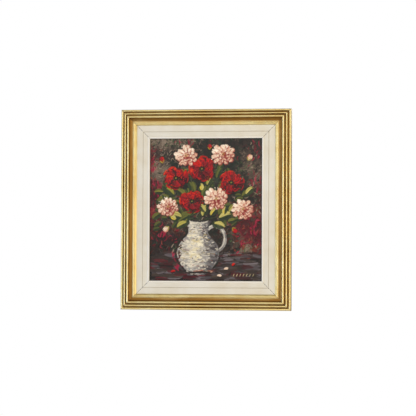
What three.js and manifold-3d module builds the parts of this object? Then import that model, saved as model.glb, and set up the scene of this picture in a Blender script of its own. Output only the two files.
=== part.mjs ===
// A framed oil painting: a stretched canvas in a painted wooden liner, inside a wide gilt moulding.
// Millimetres, +Z up. The picture looks towards -Y and hangs against a wall on its +Y side.
// The origin is on the wall face of the hanger, in the middle of the back of the top rail.
import * as THREE from 'three';
import { mergeVertices } from 'three/addons/utils/BufferGeometryUtils.js';
import Module from 'manifold-3d';

const wasm = await Module();
wasm.setup();

// Clearances
const TOUCH = 0.3; // between two pieces that bear on each other
const CANVAS_PLAY = 0.5; // round the canvas in the liner's rabbet
const SCREW_PLAY = 0.25; // round a screw's shank in its hole

// Canvas and its stretcher
const CANVAS_WIDTH = 400;
const CANVAS_HEIGHT = 500;
const CANVAS_CLOTH = 0.8;
const CANVAS_HEM = 26; // turned over behind the stretcher
const CANVAS_RECESS = 0.4; // from the back of the frame to the hem
const BAR_WIDTH = 42;
const BAR_DEPTH = 16;
const BAR_LIP = 7; // the flat outer edge that the cloth is stretched over
const BAR_FALL = 3; // how far the bar slopes away from the cloth
const BAR_ROUND = 2; // its rounded inner edge

// Liner, from the edge of the gilt moulding inwards
const LINER_BAND = 20.5; // the flat outer band that shows
const LINER_GROOVE = 2.5;
const LINER_GROOVE_DEPTH = 1;
const LINER_UPPER_SLOPE = 6.5; // the inner band falls towards the picture in two parts,
const LINER_LOWER_SLOPE = 8.5; // with a fine step between them
const LINER_FALL = 1.8; // from the outer band to the foot of the slope, the step included
const LINER_STEP = 0.4;
const LINER_BEAD_WIDTH = 7; // the rounded sight edge
const LINER_BEAD_RISE = 1.5;
const LINER_EDGE = 3.9; // wood left in front of the canvas
const LINER_COVER = 5; // how far the sight edge covers the canvas
const LINER_BACK = 6; // from the back of the frame to the back of the liner

// Gilt moulding, from its outer edge inwards; a rise is above the underside of its inner lip
const OUTER_BEAD_RADIUS = 4;
const OUTER_BEAD_RISE = 3.1;
const GROOVE_RADIUS = 2;
const GROOVE_DROP = 3.9; // below that underside
const STEP_BEAD_RADIUS = 3;
const STEP_BEAD_RISE = 9.6;
const QUIRK_RADIUS = 2.25;
const QUIRK_RISE = 2.1;
const CROWN_RADIUS = 3.5;
const CROWN_RISE = 16.6;
const CROWN_SIDE = 1.5; // the short drop from the crown into the cove
const COVE_WIDTH = 11.5;
const COVE_RISE = 3.4;
const FILLET_WIDTH = 2;
const FILLET_RISE = 4.3;
const INNER_BEAD_RADIUS = 3;
const NOSE_WIDTH = 4; // the bevel down to the liner
const NOSE_EDGE = 1; // its blunt edge
const LIP_COVER = 8; // how far the lip covers the liner

// Hanger: a flat strip of sheet with a raised middle that has teeth along its lower edge
const HANGER_WIDTH = 13;
const HANGER_SHEET = 1;
const HANGER_RISE = 1.8;
const HANGER_BRIDGE = 34; // the raised middle
const HANGER_RAMP = 3;
const HANGER_FOOT = 12; // each flat end
const TOOTH_PITCH = 4;
const TOOTH_DEPTH = 2.5;
const TOOTH_FLAT = 0.6;

// Offset clips that keep the canvas in the liner
const CLIP_WIDTH = 14;
const CLIP_SHEET = 1;
const CLIP_FOOT = 20; // on the liner
const CLIP_TONGUE = 16; // over the canvas

// Wood screws
const SHANK_RADIUS = 1.3;
const SHANK_LENGTH = 11;
const SCREW_HEAD_RADIUS = 3;
const SCREW_HEAD_HEIGHT = 1.4;

const ARC_STEPS = 5; // in a quarter of a round moulding
const ROUND_SIDES = 16;
const HALF_TURN = Math.PI;
const QUARTER_TURN = Math.PI / 2;

// Heights above the flat back of the frame, from the hem of the canvas forwards
const BAR_BACK = CANVAS_RECESS + CANVAS_CLOTH + TOUCH;
const CANVAS_FRONT = BAR_BACK + BAR_DEPTH + TOUCH + CANVAS_CLOTH;
const LINER_LIP = CANVAS_FRONT + TOUCH; // underside of the liner's sight edge
const LINER_FRONT = LINER_LIP + LINER_EDGE + LINER_FALL;
const LIP_HEIGHT = LINER_FRONT + TOUCH;

// Widths seen from the front, and the overall sizes that follow
const GILT_FACE = 2 * (OUTER_BEAD_RADIUS + GROOVE_RADIUS + STEP_BEAD_RADIUS + QUIRK_RADIUS
  + CROWN_RADIUS + FILLET_WIDTH + INNER_BEAD_RADIUS) + COVE_WIDTH + NOSE_WIDTH;
const LINER_FACE = LINER_BAND + LINER_GROOVE + LINER_UPPER_SLOPE + LINER_LOWER_SLOPE + LINER_BEAD_WIDTH;
const LINER_HIDDEN = LIP_COVER - TOUCH;
const LINER_WIDTH = LINER_HIDDEN + LINER_FACE;
const RABBET_WALL = LINER_COVER + CANVAS_PLAY; // from the sight edge out to the side of the rabbet
const GILT_BACK = GILT_FACE - LIP_COVER;
const SIGHT = { width: CANVAS_WIDTH - 2 * LINER_COVER, height: CANVAS_HEIGHT - 2 * LINER_COVER };
const FRAME_HEIGHT = SIGHT.height + 2 * (LINER_FACE + GILT_FACE);
const HANGER_DEPTH = TOUCH + HANGER_RISE + HANGER_SHEET;

const FINISHES = {
  gilt: { color: 0xc8a552, roughness: 0.38, metalness: 0.9 },
  cream: { color: 0xdfd2bb, roughness: 0.6, metalness: 0 },
  paint: { color: 0x4d3a30, roughness: 0.5, metalness: 0 },
  pine: { color: 0xc79f6b, roughness: 0.7, metalness: 0 },
  brass: { color: 0xb08d3e, roughness: 0.35, metalness: 1 },
  zinc: { color: 0xa9a9a4, roughness: 0.4, metalness: 1 },
};

// Turns a closed geometry into a solid that can be cut.
function toSolid(geometry) {
  const bare = geometry.clone();
  bare.deleteAttribute('normal');
  bare.deleteAttribute('uv');
  const merged = mergeVertices(bare);
  return new wasm.Manifold(new wasm.Mesh({
    numProp: 3,
    vertProperties: new Float32Array(merged.attributes.position.array),
    triVerts: new Uint32Array(merged.index.array),
  }));
}

// Cuts the tools out of a geometry.
function cut(geometry, tools) {
  const mesh = tools.reduce((left, tool) => left.subtract(toSolid(tool)), toSolid(geometry)).getMesh();
  const result = new THREE.BufferGeometry();
  result.setAttribute('position', new THREE.BufferAttribute(mesh.vertProperties, 3));
  result.setIndex(new THREE.BufferAttribute(mesh.triVerts, 1));
  result.computeVertexNormals();
  return result;
}

// A prism of a closed outline, centred along its length, which runs along z.
function prism(outline, length) {
  const options = { depth: length, bevelEnabled: false, curveSegments: ARC_STEPS };
  return new THREE.ExtrudeGeometry(outline, options).translate(0, 0, -length / 2);
}

// A rail with both ends mitred: a point that lies further in from the outer edge ends that much sooner.
function mitredRail(profile, outerLength) {
  const rail = prism(profile, 1);
  const position = rail.attributes.position;
  const half = outerLength / 2 - TOUCH / Math.SQRT2;
  for (let i = 0; i < position.count; i += 1) {
    position.setZ(i, Math.sign(position.getZ(i)) * (half - position.getX(i)));
  }
  return rail;
}

// Adds a raised half round to an outline and returns where it ends.
function bead(outline, start, radius, crest) {
  outline.lineTo(start, crest - radius);
  outline.absarc(start + radius, crest - radius, radius, HALF_TURN, 0, true);
  return start + 2 * radius;
}

// Adds a hollow half round to an outline and returns where it ends.
function hollow(outline, start, radius, floor) {
  outline.lineTo(start, floor + radius);
  outline.absarc(start + radius, floor + radius, radius, HALF_TURN, 2 * HALF_TURN, false);
  return start + 2 * radius;
}

// The gilt moulding: bead, groove, bead, quirk, crown, cove, bead between fillets, and nose.
function giltProfile() {
  const outline = new THREE.Shape();
  outline.moveTo(0, 0);
  let at = bead(outline, 0, OUTER_BEAD_RADIUS, LIP_HEIGHT + OUTER_BEAD_RISE);
  at = hollow(outline, at, GROOVE_RADIUS, LIP_HEIGHT - GROOVE_DROP);
  at = bead(outline, at, STEP_BEAD_RADIUS, LIP_HEIGHT + STEP_BEAD_RISE);
  at = hollow(outline, at, QUIRK_RADIUS, LIP_HEIGHT + QUIRK_RISE);
  at = bead(outline, at, CROWN_RADIUS, LIP_HEIGHT + CROWN_RISE);
  const coveDepth = CROWN_RISE - CROWN_RADIUS - CROWN_SIDE - COVE_RISE;
  const coveTop = LIP_HEIGHT + COVE_RISE + coveDepth;
  outline.lineTo(at, coveTop);
  at += COVE_WIDTH;
  outline.absellipse(at, coveTop, COVE_WIDTH, coveDepth, HALF_TURN, HALF_TURN + QUARTER_TURN, false, 0);
  outline.lineTo(at, LIP_HEIGHT + FILLET_RISE);
  at = bead(outline, at + FILLET_WIDTH, INNER_BEAD_RADIUS, LIP_HEIGHT + FILLET_RISE + INNER_BEAD_RADIUS);
  outline.lineTo(at + FILLET_WIDTH, LIP_HEIGHT + FILLET_RISE);
  outline.lineTo(GILT_FACE, LIP_HEIGHT + NOSE_EDGE);
  outline.lineTo(GILT_FACE, LIP_HEIGHT);
  outline.lineTo(GILT_BACK, LIP_HEIGHT);
  outline.lineTo(GILT_BACK, 0);
  outline.closePath();
  return outline;
}

// The liner: flat band, fine groove, stepped slope and rounded sight edge.
function linerProfile() {
  const grooveStart = LINER_HIDDEN + LINER_BAND;
  const slopeStart = grooveStart + LINER_GROOVE;
  const step = slopeStart + LINER_UPPER_SLOPE;
  const slopeEnd = step + LINER_LOWER_SLOPE;
  const pitch = (LINER_FALL - LINER_STEP) / (LINER_UPPER_SLOPE + LINER_LOWER_SLOPE);
  const stepTop = LINER_FRONT - pitch * LINER_UPPER_SLOPE;
  const foot = LINER_FRONT - LINER_FALL;
  const beadHalf = LINER_BEAD_WIDTH / 2;
  const outline = new THREE.Shape();
  outline.moveTo(0, LINER_BACK);
  outline.lineTo(0, LINER_FRONT);
  outline.lineTo(grooveStart, LINER_FRONT);
  outline.lineTo(grooveStart + LINER_GROOVE / 2, LINER_FRONT - LINER_GROOVE_DEPTH);
  outline.lineTo(slopeStart, LINER_FRONT);
  outline.lineTo(step, stepTop);
  outline.lineTo(step, stepTop - LINER_STEP);
  outline.lineTo(slopeEnd, foot);
  outline.absellipse(slopeEnd + beadHalf, foot, beadHalf, LINER_BEAD_RISE, HALF_TURN, 0, true, 0);
  outline.lineTo(LINER_WIDTH, LINER_LIP);
  outline.lineTo(LINER_WIDTH - RABBET_WALL, LINER_LIP);
  outline.lineTo(LINER_WIDTH - RABBET_WALL, LINER_BACK);
  outline.closePath();
  return outline;
}

// A stretcher bar: a flat lip under the edge of the cloth, then a slope that leaves the cloth free.
function barProfile() {
  const inner = BAR_WIDTH - BAR_ROUND;
  const innerFront = BAR_DEPTH - BAR_FALL;
  const outline = new THREE.Shape();
  outline.moveTo(0, 0);
  outline.lineTo(0, BAR_DEPTH);
  outline.lineTo(BAR_LIP, BAR_DEPTH);
  outline.lineTo(inner, innerFront);
  outline.absarc(inner, innerFront - BAR_ROUND, BAR_ROUND, QUARTER_TURN, 0, true);
  outline.lineTo(BAR_WIDTH, 0);
  outline.closePath();
  return outline;
}

// The painted cloth: drawn over the front and sides of the stretcher and turned over behind it.
// Its own middle is the middle of its depth.
function canvasGeometry(depth) {
  const block = new THREE.BoxGeometry(CANVAS_WIDTH, depth, CANVAS_HEIGHT);
  const core = new THREE.BoxGeometry(
    CANVAS_WIDTH - 2 * CANVAS_CLOTH, depth - 2 * CANVAS_CLOTH, CANVAS_HEIGHT - 2 * CANVAS_CLOTH);
  const opening = new THREE.BoxGeometry(CANVAS_WIDTH - 2 * CANVAS_HEM, depth, CANVAS_HEIGHT - 2 * CANVAS_HEM);
  opening.translate(0, depth / 2, 0);
  return cut(block, [core, opening]);
}

// A wood screw with a low round head. y runs out of the wood from the underside of the head.
function screwGeometry() {
  const outline = [
    new THREE.Vector2(0, -SHANK_LENGTH),
    new THREE.Vector2(SHANK_RADIUS, -SHANK_LENGTH + 2 * SHANK_RADIUS),
    new THREE.Vector2(SHANK_RADIUS, 0),
  ];
  for (let i = 0; i < ARC_STEPS; i += 1) {
    const angle = (i / ARC_STEPS) * QUARTER_TURN;
    outline.push(new THREE.Vector2(SCREW_HEAD_RADIUS * Math.cos(angle), SCREW_HEAD_HEIGHT * Math.sin(angle)));
  }
  outline.push(new THREE.Vector2(0, SCREW_HEAD_HEIGHT));
  return new THREE.LatheGeometry(outline, ROUND_SIDES);
}

// The hole for a screw, along y, with the face that it is bored into at its middle.
function screwHole(x, z) {
  const radius = SHANK_RADIUS + SCREW_PLAY;
  const depth = SHANK_LENGTH + SCREW_PLAY;
  return new THREE.CylinderGeometry(radius, radius, 2 * depth, ROUND_SIDES).translate(x, 0, z);
}

// A strip of bent sheet: its outline, seen from the side, is drawn out to the strip's width.
function bentStrip(points, width) {
  return prism(new THREE.Shape(points.map(([x, y]) => new THREE.Vector2(x, y))), width);
}

// The hanger: x runs along the strip, y away from the rail, z down to its teeth.
const HANGER_SCREW = HANGER_BRIDGE / 2 + HANGER_RAMP + HANGER_FOOT / 2;

function hangerGeometry() {
  const rise = HANGER_RISE;
  const sheet = HANGER_SHEET;
  const bridge = HANGER_BRIDGE / 2;
  const foot = bridge + HANGER_RAMP;
  const end = foot + HANGER_FOOT;
  const strip = bentStrip([
    [-end, 0], [-foot, 0], [-bridge, rise], [bridge, rise], [foot, 0], [end, 0],
    [end, sheet], [foot, sheet], [bridge, rise + sheet], [-bridge, rise + sheet], [-foot, sheet], [-end, sheet],
  ], HANGER_WIDTH);
  const edge = HANGER_WIDTH / 2;
  const notchHalf = TOOTH_PITCH - TOOTH_FLAT; // measured one tooth's depth beyond the edge
  const notchCount = Math.floor(HANGER_BRIDGE / TOOTH_PITCH) - 1;
  const notches = Array.from({ length: notchCount }, (_, i) => {
    const middle = (i - (notchCount - 1) / 2) * TOOTH_PITCH;
    const notch = bentStrip([
      [middle - notchHalf, edge + TOOTH_DEPTH],
      [middle + notchHalf, edge + TOOTH_DEPTH],
      [middle, edge - TOOTH_DEPTH],
    ], 4 * (rise + sheet));
    return notch.rotateX(QUARTER_TURN);
  });
  return cut(strip, [screwHole(-HANGER_SCREW, 0), screwHole(HANGER_SCREW, 0), ...notches]);
}

// An offset clip: x runs inwards from the side of the liner's rabbet, y away from the liner's back.
const CLIP_SCREW = -(CLIP_FOOT + CLIP_SHEET) / 2;

function clipGeometry() {
  const rise = LINER_BACK - CANVAS_RECESS + TOUCH;
  const strip = bentStrip([
    [-CLIP_FOOT, TOUCH], [0, TOUCH], [0, rise], [CLIP_TONGUE, rise], [CLIP_TONGUE, rise + CLIP_SHEET],
    [-CLIP_SHEET, rise + CLIP_SHEET], [-CLIP_SHEET, TOUCH + CLIP_SHEET], [-CLIP_FOOT, TOUCH + CLIP_SHEET],
  ], CLIP_WIDTH);
  return cut(strip, [screwHole(CLIP_SCREW, 0)]);
}

function add(parent, name, geometry, finish, position, rotation = [0, 0, 0]) {
  const mesh = new THREE.Mesh(geometry, new THREE.MeshStandardMaterial(FINISHES[finish]));
  mesh.name = name;
  mesh.position.set(...position);
  mesh.rotation.set(...rotation);
  parent.add(mesh);
}

const painting = new THREE.Group();

// The frame's own middle, with y zero at its flat back.
const frame = new THREE.Group();
frame.position.set(0, -HANGER_DEPTH, GILT_BACK / 2 - FRAME_HEIGHT / 2);
painting.add(frame);

const canvasDepth = CANVAS_FRONT - CANVAS_RECESS;
add(frame, 'canvas', canvasGeometry(canvasDepth), 'paint', [0, -CANVAS_RECESS - canvasDepth / 2, 0]);

// Each side of the frame is a group in which x runs inwards, y forwards and z along the rails.
const SIDES = [
  { name: 'bottom', turn: 0, across: 'height', along: 'width' },
  { name: 'left', turn: QUARTER_TURN, across: 'width', along: 'height' },
  { name: 'top', turn: HALF_TURN, across: 'height', along: 'width' },
  { name: 'right', turn: -QUARTER_TURN, across: 'width', along: 'height' },
];
const INWARDS = new THREE.Vector3(0, 0, 1);
const FORWARDS = new THREE.Vector3(0, -1, 0);
const ALONG = new THREE.Vector3(1, 0, 0);
const layOut = new THREE.Quaternion().setFromRotationMatrix(
  new THREE.Matrix4().makeBasis(INWARDS, FORWARDS, ALONG));
const BACKWARDS = [HALF_TURN, 0, 0]; // turns a piece's y from forwards to backwards

for (const { name, turn, across, along } of SIDES) {
  const turned = new THREE.Group();
  turned.rotation.y = turn;
  frame.add(turned);
  const side = new THREE.Group();
  side.quaternion.copy(layOut);
  turned.add(side);

  const sightEdge = -SIGHT[across] / 2;
  const giltEdge = sightEdge - LINER_FACE - GILT_FACE;
  const giltLength = SIGHT[along] + 2 * (LINER_FACE + GILT_FACE);
  const linerEdge = sightEdge - LINER_WIDTH;
  const rabbetWall = sightEdge - RABBET_WALL;
  const barInset = TOUCH + CANVAS_CLOTH - LINER_COVER; // from the sight edge in to the bar's outer edge

  let giltRail = mitredRail(giltProfile(), giltLength);
  if (name === 'top') {
    const middle = GILT_BACK / 2;
    giltRail = cut(giltRail, [screwHole(middle, -HANGER_SCREW), screwHole(middle, HANGER_SCREW)]);
    const hangerAt = new THREE.Group();
    hangerAt.position.set(giltEdge + middle, -TOUCH, 0);
    hangerAt.quaternion.copy(layOut);
    side.add(hangerAt);
    add(hangerAt, 'hanger', hangerGeometry(), 'brass', [0, 0, 0]);
    for (const [hand, end] of [['left', 1], ['right', -1]]) {
      const under = HANGER_SHEET + TOUCH;
      add(hangerAt, `hanger_screw_${hand}`, screwGeometry(), 'brass', [end * HANGER_SCREW, under, 0]);
    }
  }
  add(side, `frame_rail_${name}`, giltRail, 'gilt', [giltEdge, 0, 0]);

  const linerRail = mitredRail(linerProfile(), SIGHT[along] + 2 * LINER_WIDTH);
  const clipHole = screwHole(LINER_WIDTH - RABBET_WALL + CLIP_SCREW, 0).translate(0, LINER_BACK, 0);
  add(side, `liner_rail_${name}`, cut(linerRail, [clipHole]), 'cream', [linerEdge, 0, 0]);

  const bar = mitredRail(barProfile(), SIGHT[along] - 2 * barInset);
  add(side, `stretcher_bar_${name}`, bar, 'pine', [sightEdge + barInset, BAR_BACK, 0]);

  add(side, `clip_${name}`, clipGeometry(), 'zinc', [rabbetWall, LINER_BACK, 0], BACKWARDS);
  const clipTop = LINER_BACK - 2 * TOUCH - CLIP_SHEET;
  add(side, `clip_screw_${name}`, screwGeometry(), 'zinc', [rabbetWall + CLIP_SCREW, clipTop, 0], BACKWARDS);
}

export default painting;
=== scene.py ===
# %% [markdown]
# # A framed oil painting
# A still life on stretched canvas sits in a cream liner, and both sit in a wide gilt moulding.
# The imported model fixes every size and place. This lesson gives each piece its finished shape and
# its surface, in metres, in the same frame: +Z is up, the picture looks towards -Y and hangs on +Y.

# %% Load the fixed frame
import math

import bmesh
import bpy
import numpy as np
from mathutils import Matrix, Vector


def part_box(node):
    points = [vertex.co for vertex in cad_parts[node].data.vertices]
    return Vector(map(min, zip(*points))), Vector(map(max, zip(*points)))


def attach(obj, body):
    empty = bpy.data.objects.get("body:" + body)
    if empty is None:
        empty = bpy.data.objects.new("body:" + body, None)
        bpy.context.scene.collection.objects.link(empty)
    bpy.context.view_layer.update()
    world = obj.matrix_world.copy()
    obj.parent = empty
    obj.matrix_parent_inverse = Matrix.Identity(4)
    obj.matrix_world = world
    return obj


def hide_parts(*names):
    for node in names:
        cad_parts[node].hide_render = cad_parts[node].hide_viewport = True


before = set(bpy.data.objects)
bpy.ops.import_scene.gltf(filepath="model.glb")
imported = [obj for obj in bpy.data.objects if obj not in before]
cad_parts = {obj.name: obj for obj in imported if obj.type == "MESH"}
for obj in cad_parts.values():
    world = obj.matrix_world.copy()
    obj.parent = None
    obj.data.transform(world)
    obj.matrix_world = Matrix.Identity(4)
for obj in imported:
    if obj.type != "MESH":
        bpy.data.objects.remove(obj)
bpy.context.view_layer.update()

# %% [markdown]
# ## Measures that come from the frame
# Each node's box says where that piece starts and ends, so nothing here is measured twice. The gilt
# rails give the outside and the flat back, the liner gives the sight opening, and the canvas lies
# between them. Lengths below are written in millimetres and turned to metres by MM.

# %% Sizes of the frame, the liner and the canvas
MM = 0.001
SIDES = ("bottom", "left", "top", "right")


def box_of(*names):
    """The lowest and highest corner of one node, or of several taken together."""
    boxes = [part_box(name) for name in names]
    low = Vector(min(box[0][axis] for box in boxes) for axis in range(3))
    high = Vector(max(box[1][axis] for box in boxes) for axis in range(3))
    return low, high


def four_sides(kind):
    """The box of four rails of a kind, and the width of one of them."""
    left_low, left_high = box_of(f"{kind}_left")
    return *box_of(*(f"{kind}_{side}" for side in SIDES)), left_high.x - left_low.x


gilt_low, gilt_high, gilt_face = four_sides("frame_rail")
liner_low, liner_high, liner_width = four_sides("liner_rail")
bar_low, bar_high, bar_width = four_sides("stretcher_bar")
canvas_low, canvas_high = box_of("canvas")
canvas_middle = (canvas_low + canvas_high) / 2
middle = (gilt_low + gilt_high) / 2
back_y = gilt_high.y
sight = [liner_high[axis] - liner_low[axis] - 2 * liner_width for axis in (0, 2)]
print("gilt face", round(gilt_face / MM, 1), "liner", round(liner_width / MM, 1))
print("sight opening", [round(length / MM, 1) for length in sight])

# %% [markdown]
# ## Drawing a moulding's outline
# A moulding is one outline run through a shaper and cut to length. The outline is drawn here as a
# pen would: a straight stroke extrudes a vertex, and a round stroke spins it. x runs in from the
# outer edge, y forward from the back, both in millimetres.

# %% The pen
QUARTER = math.pi / 2
ROUND_STEPS = 14


def verts_of(parts):
    """The vertices among the mixed parts that an operator gives back."""
    return [part for part in parts if isinstance(part, bmesh.types.BMVert)]


class Pen:
    """Draws one closed outline of edges in a mesh."""

    def __init__(self, x, y):
        self.mesh = bmesh.new()
        self.tip = self.mesh.verts.new((x * MM, y * MM, 0))
        self.first = self.tip

    def line(self, *points):
        for x, y in points:
            self.tip = bmesh.ops.extrude_vert_indiv(self.mesh, verts=[self.tip])["verts"][0]
            self.tip.co = (x * MM, y * MM, 0)

    def arc(self, x, y, angle, flatten=1.0):
        """Swings round the centre x, y; flatten squeezes the round towards that centre's height."""
        known = set(self.mesh.verts)
        centre = Vector((x * MM, y * MM, 0))
        spun = bmesh.ops.spin(
            self.mesh, geom=[self.tip], cent=centre, axis=(0, 0, 1), angle=angle, steps=ROUND_STEPS,
            use_duplicate=False)
        self.tip = verts_of(spun["geom_last"])[0]
        fresh = [vert for vert in self.mesh.verts if vert not in known]
        bmesh.ops.scale(self.mesh, vec=(1, flatten, 1), space=Matrix.Translation(-centre), verts=fresh)

    def close(self):
        self.mesh.edges.new((self.tip, self.first))
        return self.mesh


print("each round is drawn in", ROUND_STEPS, "steps")

# %% [markdown]
# ## How deep a point lies in the moulding
# Toning wash and painted shade lie in the hollows of the gilt moulding, the liner's coat is darker in
# its groove, and hands rub the crests bare. All of it follows the outline, so each point of it learns
# how far it lies under a short straightedge laid across.
# The value is stored on the vertices and rides along when the outline is swept.

# %% Hollows of an outline
STRAIGHTEDGE = 7 * MM
DEEP = 7 * MM
# The toning wash with painted shade in the quirks and in the cove, and how much less the cove takes at
# its inner side.
QUIRK_WASH_AND_SHADE = 0.75
COVE_WASH_AND_SHADE = 0.86
COVE_THINNING = 0.5


def mark_hollows(mesh, cove=None):
    """Stores how hollow each point is. A cove, given by its start and end, holds wash and painted shade
    all over.
    """
    layer = mesh.verts.layers.float.new("hollow")
    points = [(vert.co.x, vert.co.y) for vert in mesh.verts]
    for vert in mesh.verts:
        x, y = vert.co.x, vert.co.y
        left = max(b for a, b in points if x - STRAIGHTEDGE <= a <= x)
        right = max(b for a, b in points if x <= a <= x + STRAIGHTEDGE)
        vert[layer] = min(max(min(left, right) - y, 0) / DEEP, QUIRK_WASH_AND_SHADE)
        if cove and cove[0] < x / MM < cove[1]:
            across = (x / MM - cove[0]) / (cove[1] - cove[0])
            vert[layer] = max(vert[layer], COVE_WASH_AND_SHADE * (1 - COVE_THINNING * across ** 6))


print("hollows are found under a straightedge of", 2 * STRAIGHTEDGE / MM, "mm")

# %% [markdown]
# ## Places on the frame, and finished meshes
# Every rail is shaped once, lying along Z, and a matrix then lays it on its side of the frame. Every
# mesh is finished alike: doubles merge, faces point outwards, and edges sharper than a limit stay
# crisp while the rest are shaded smooth.

# %% Placing and finishing
SHARP = math.radians(32)
DOUBLES = 0.002 * MM
SIDE_TURN = {"bottom": 0, "left": QUARTER, "top": 2 * QUARTER, "right": -QUARTER}
LAY_OUT = Matrix(((0, 0, 1), (0, -1, 0), (1, 0, 0))).to_4x4()


def rail_lie(side, low, high):
    """How far a rail's outer edge lies from the middle, and how long the rail is."""
    wide, tall = high.x - low.x, high.z - low.z
    return (wide / 2, tall) if side in ("left", "right") else (tall / 2, wide)


def side_matrix(side, reach, depth):
    """Takes x inwards, y forwards and z along a rail to their places on one side of the frame."""
    turn = Matrix.Rotation(SIDE_TURN[side], 4, "Y")
    return (Matrix.Translation((middle.x, back_y, middle.z)) @ turn @ LAY_OUT
            @ Matrix.Translation((-reach, depth, 0)))


def in_scene(name, data):
    made = bpy.data.objects.new(name, data)
    bpy.context.scene.collection.objects.link(made)
    return made


def finish_mesh(mesh, name, sharp=SHARP):
    """Merges doubles, points the faces outwards, marks sharp edges and makes the object."""
    bmesh.ops.remove_doubles(mesh, verts=mesh.verts, dist=DOUBLES)
    bmesh.ops.recalc_face_normals(mesh, faces=mesh.faces)
    for face in mesh.faces:
        face.smooth = True
    for edge in mesh.edges:
        edge.smooth = edge.is_manifold and edge.calc_face_angle(0) < sharp
    data = bpy.data.meshes.new(name)
    mesh.to_mesh(data)
    mesh.free()
    return in_scene(name, data)


print("degrees each side is turned:", [round(math.degrees(SIDE_TURN[side])) for side in SIDES])

# %% [markdown]
# ## Sweeping and mitring a rail
# The outline is extruded to the rail's full length, divided along it, and both ends are cut at
# 45 degrees with a plane, as a mitre saw does. Caps close the cuts. A map along the rail and across
# it goes on before the rail is turned to its side of the frame, so grain and leaf can follow it.

# %% A mitred rail
MITRE_GAP = 0.3 * MM


def all_of(mesh):
    return mesh.verts[:] + mesh.edges[:] + mesh.faces[:]


def mitred_rail(name, mesh, length, cuts, placing):
    half = length / 2
    for vert in mesh.verts:
        vert.co.z = -half
    swept = bmesh.ops.extrude_edge_only(mesh, edges=mesh.edges[:])["geom"]
    bmesh.ops.translate(mesh, vec=(0, 0, length), verts=verts_of(swept))
    long_edges = [edge for edge in mesh.edges if abs(edge.verts[0].co.z - edge.verts[1].co.z) > half]
    bmesh.ops.subdivide_edges(mesh, edges=long_edges, cuts=cuts, use_grid_fill=True)
    for hand in (-1, 1):
        saw = Vector((0, 0, hand * (half - MITRE_GAP / math.sqrt(2))))
        bmesh.ops.bisect_plane(
            mesh, geom=all_of(mesh), plane_co=saw, plane_no=(1, 0, hand), clear_outer=True,
            dist=0.0001 * MM)
        rim = [edge for edge in mesh.edges if edge.is_boundary and edge.verts[0].co.z * hand > 0]
        bmesh.ops.edgeloop_fill(mesh, edges=rim)
    mitre = mesh.verts.layers.float.new("from_mitre")
    for vert in mesh.verts:
        vert[mitre] = half - abs(vert.co.z) - vert.co.x
    strip = mesh.loops.layers.uv.new("rail")
    for face in mesh.faces:
        for loop in face.loops:
            loop[strip].uv = (loop.vert.co.z + half, loop.vert.co.x)
    bmesh.ops.transform(mesh, matrix=placing, verts=mesh.verts)
    return finish_mesh(mesh, name)


print("rails meet with a gap of", round(MITRE_GAP / MM, 1), "mm")

# %% [markdown]
# ## Colours and scales
# Colours are sRGB hex values, which is how paint is usually matched, and one function turns them to
# the linear values that the shaders work in. Pattern sizes are written in millimetres and turned to
# the scale that a texture node expects.

# %% Colours and scales
def linear(colour):
    """Turns a six-digit sRGB hex value to a linear RGBA tuple."""
    channels = [int(colour[i:i + 2], 16) / 255 for i in (1, 3, 5)]
    light = [c / 12.92 if c <= 0.04045 else ((c + 0.055) / 1.055) ** 2.4 for c in channels]
    return (*light, 1.0)


def every(size):
    """The texture scale that repeats once in a size given in millimetres."""
    return 1 / (size * MM)


print("middle grey in linear light:", round(linear("#808080")[0], 3))

# %% [markdown]
# ## One helper for every material
# A material is a chain of nodes fed into a Principled shader. One function adds a node of any kind
# with its settings and links, so that each material below reads as a list of what the surface has.

# %% Adding nodes
COLOUR_A, COLOUR_B, COLOUR_OUT = 6, 7, 2  # the sockets of a Mix node that mixes colours


def feed(tree, node, inputs):
    """Links or sets each named input. A node given as the value is linked by its first output."""
    for name, value in inputs.items():
        if isinstance(value, bpy.types.Node):
            value = value.outputs[0]
        if isinstance(value, bpy.types.NodeSocket):
            tree.links.new(value, node.inputs[name])
        else:
            node.inputs[name].default_value = value


def add(tree, kind, inputs=None, stops=None, **settings):
    """Adds a node with its settings, and feeds its inputs."""
    made = tree.nodes.new("ShaderNode" + kind)
    for name, value in settings.items():
        setattr(made, name, value)
    feed(tree, made, inputs or {})
    if stops:
        elements = made.color_ramp.elements
        while len(elements) < len(stops):
            elements.new(0.5)
        for element, (position, shade) in zip(elements, stops):
            element.position = position
            element.color = linear(shade) if isinstance(shade, str) else (shade, shade, shade, 1)
    return made


def new_material(name):
    """Makes an empty node material and returns it with its tree and its Principled shader."""
    material = bpy.data.materials.new(name)
    material.use_nodes = True
    tree = material.node_tree
    tree.nodes.clear()
    shader = add(tree, "BsdfPrincipled")
    add(tree, "OutputMaterial", {"Surface": shader})
    return material, tree, shader


print("a mix of colours reads inputs", COLOUR_A, "and", COLOUR_B, "and gives output", COLOUR_OUT)

# %% [markdown]
# ## Bare pine
# Moulding, liner and stretcher are all planed pine, and their backs were never finished. Slow noise
# stretched along the rail and cut into steps gives the growth rings, and fine noise the pores. The
# eye gets honey-coloured wood, darkened with age, with a dull, slightly hairy surface.

# %% Planed pine
PINE = "#CFAA74"
PINE_RING = "#A87A45"
PINE_AGE = "#8A6238"
RING = 46
PORE = 0.8
RINGS_SEEN = 11.0


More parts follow.
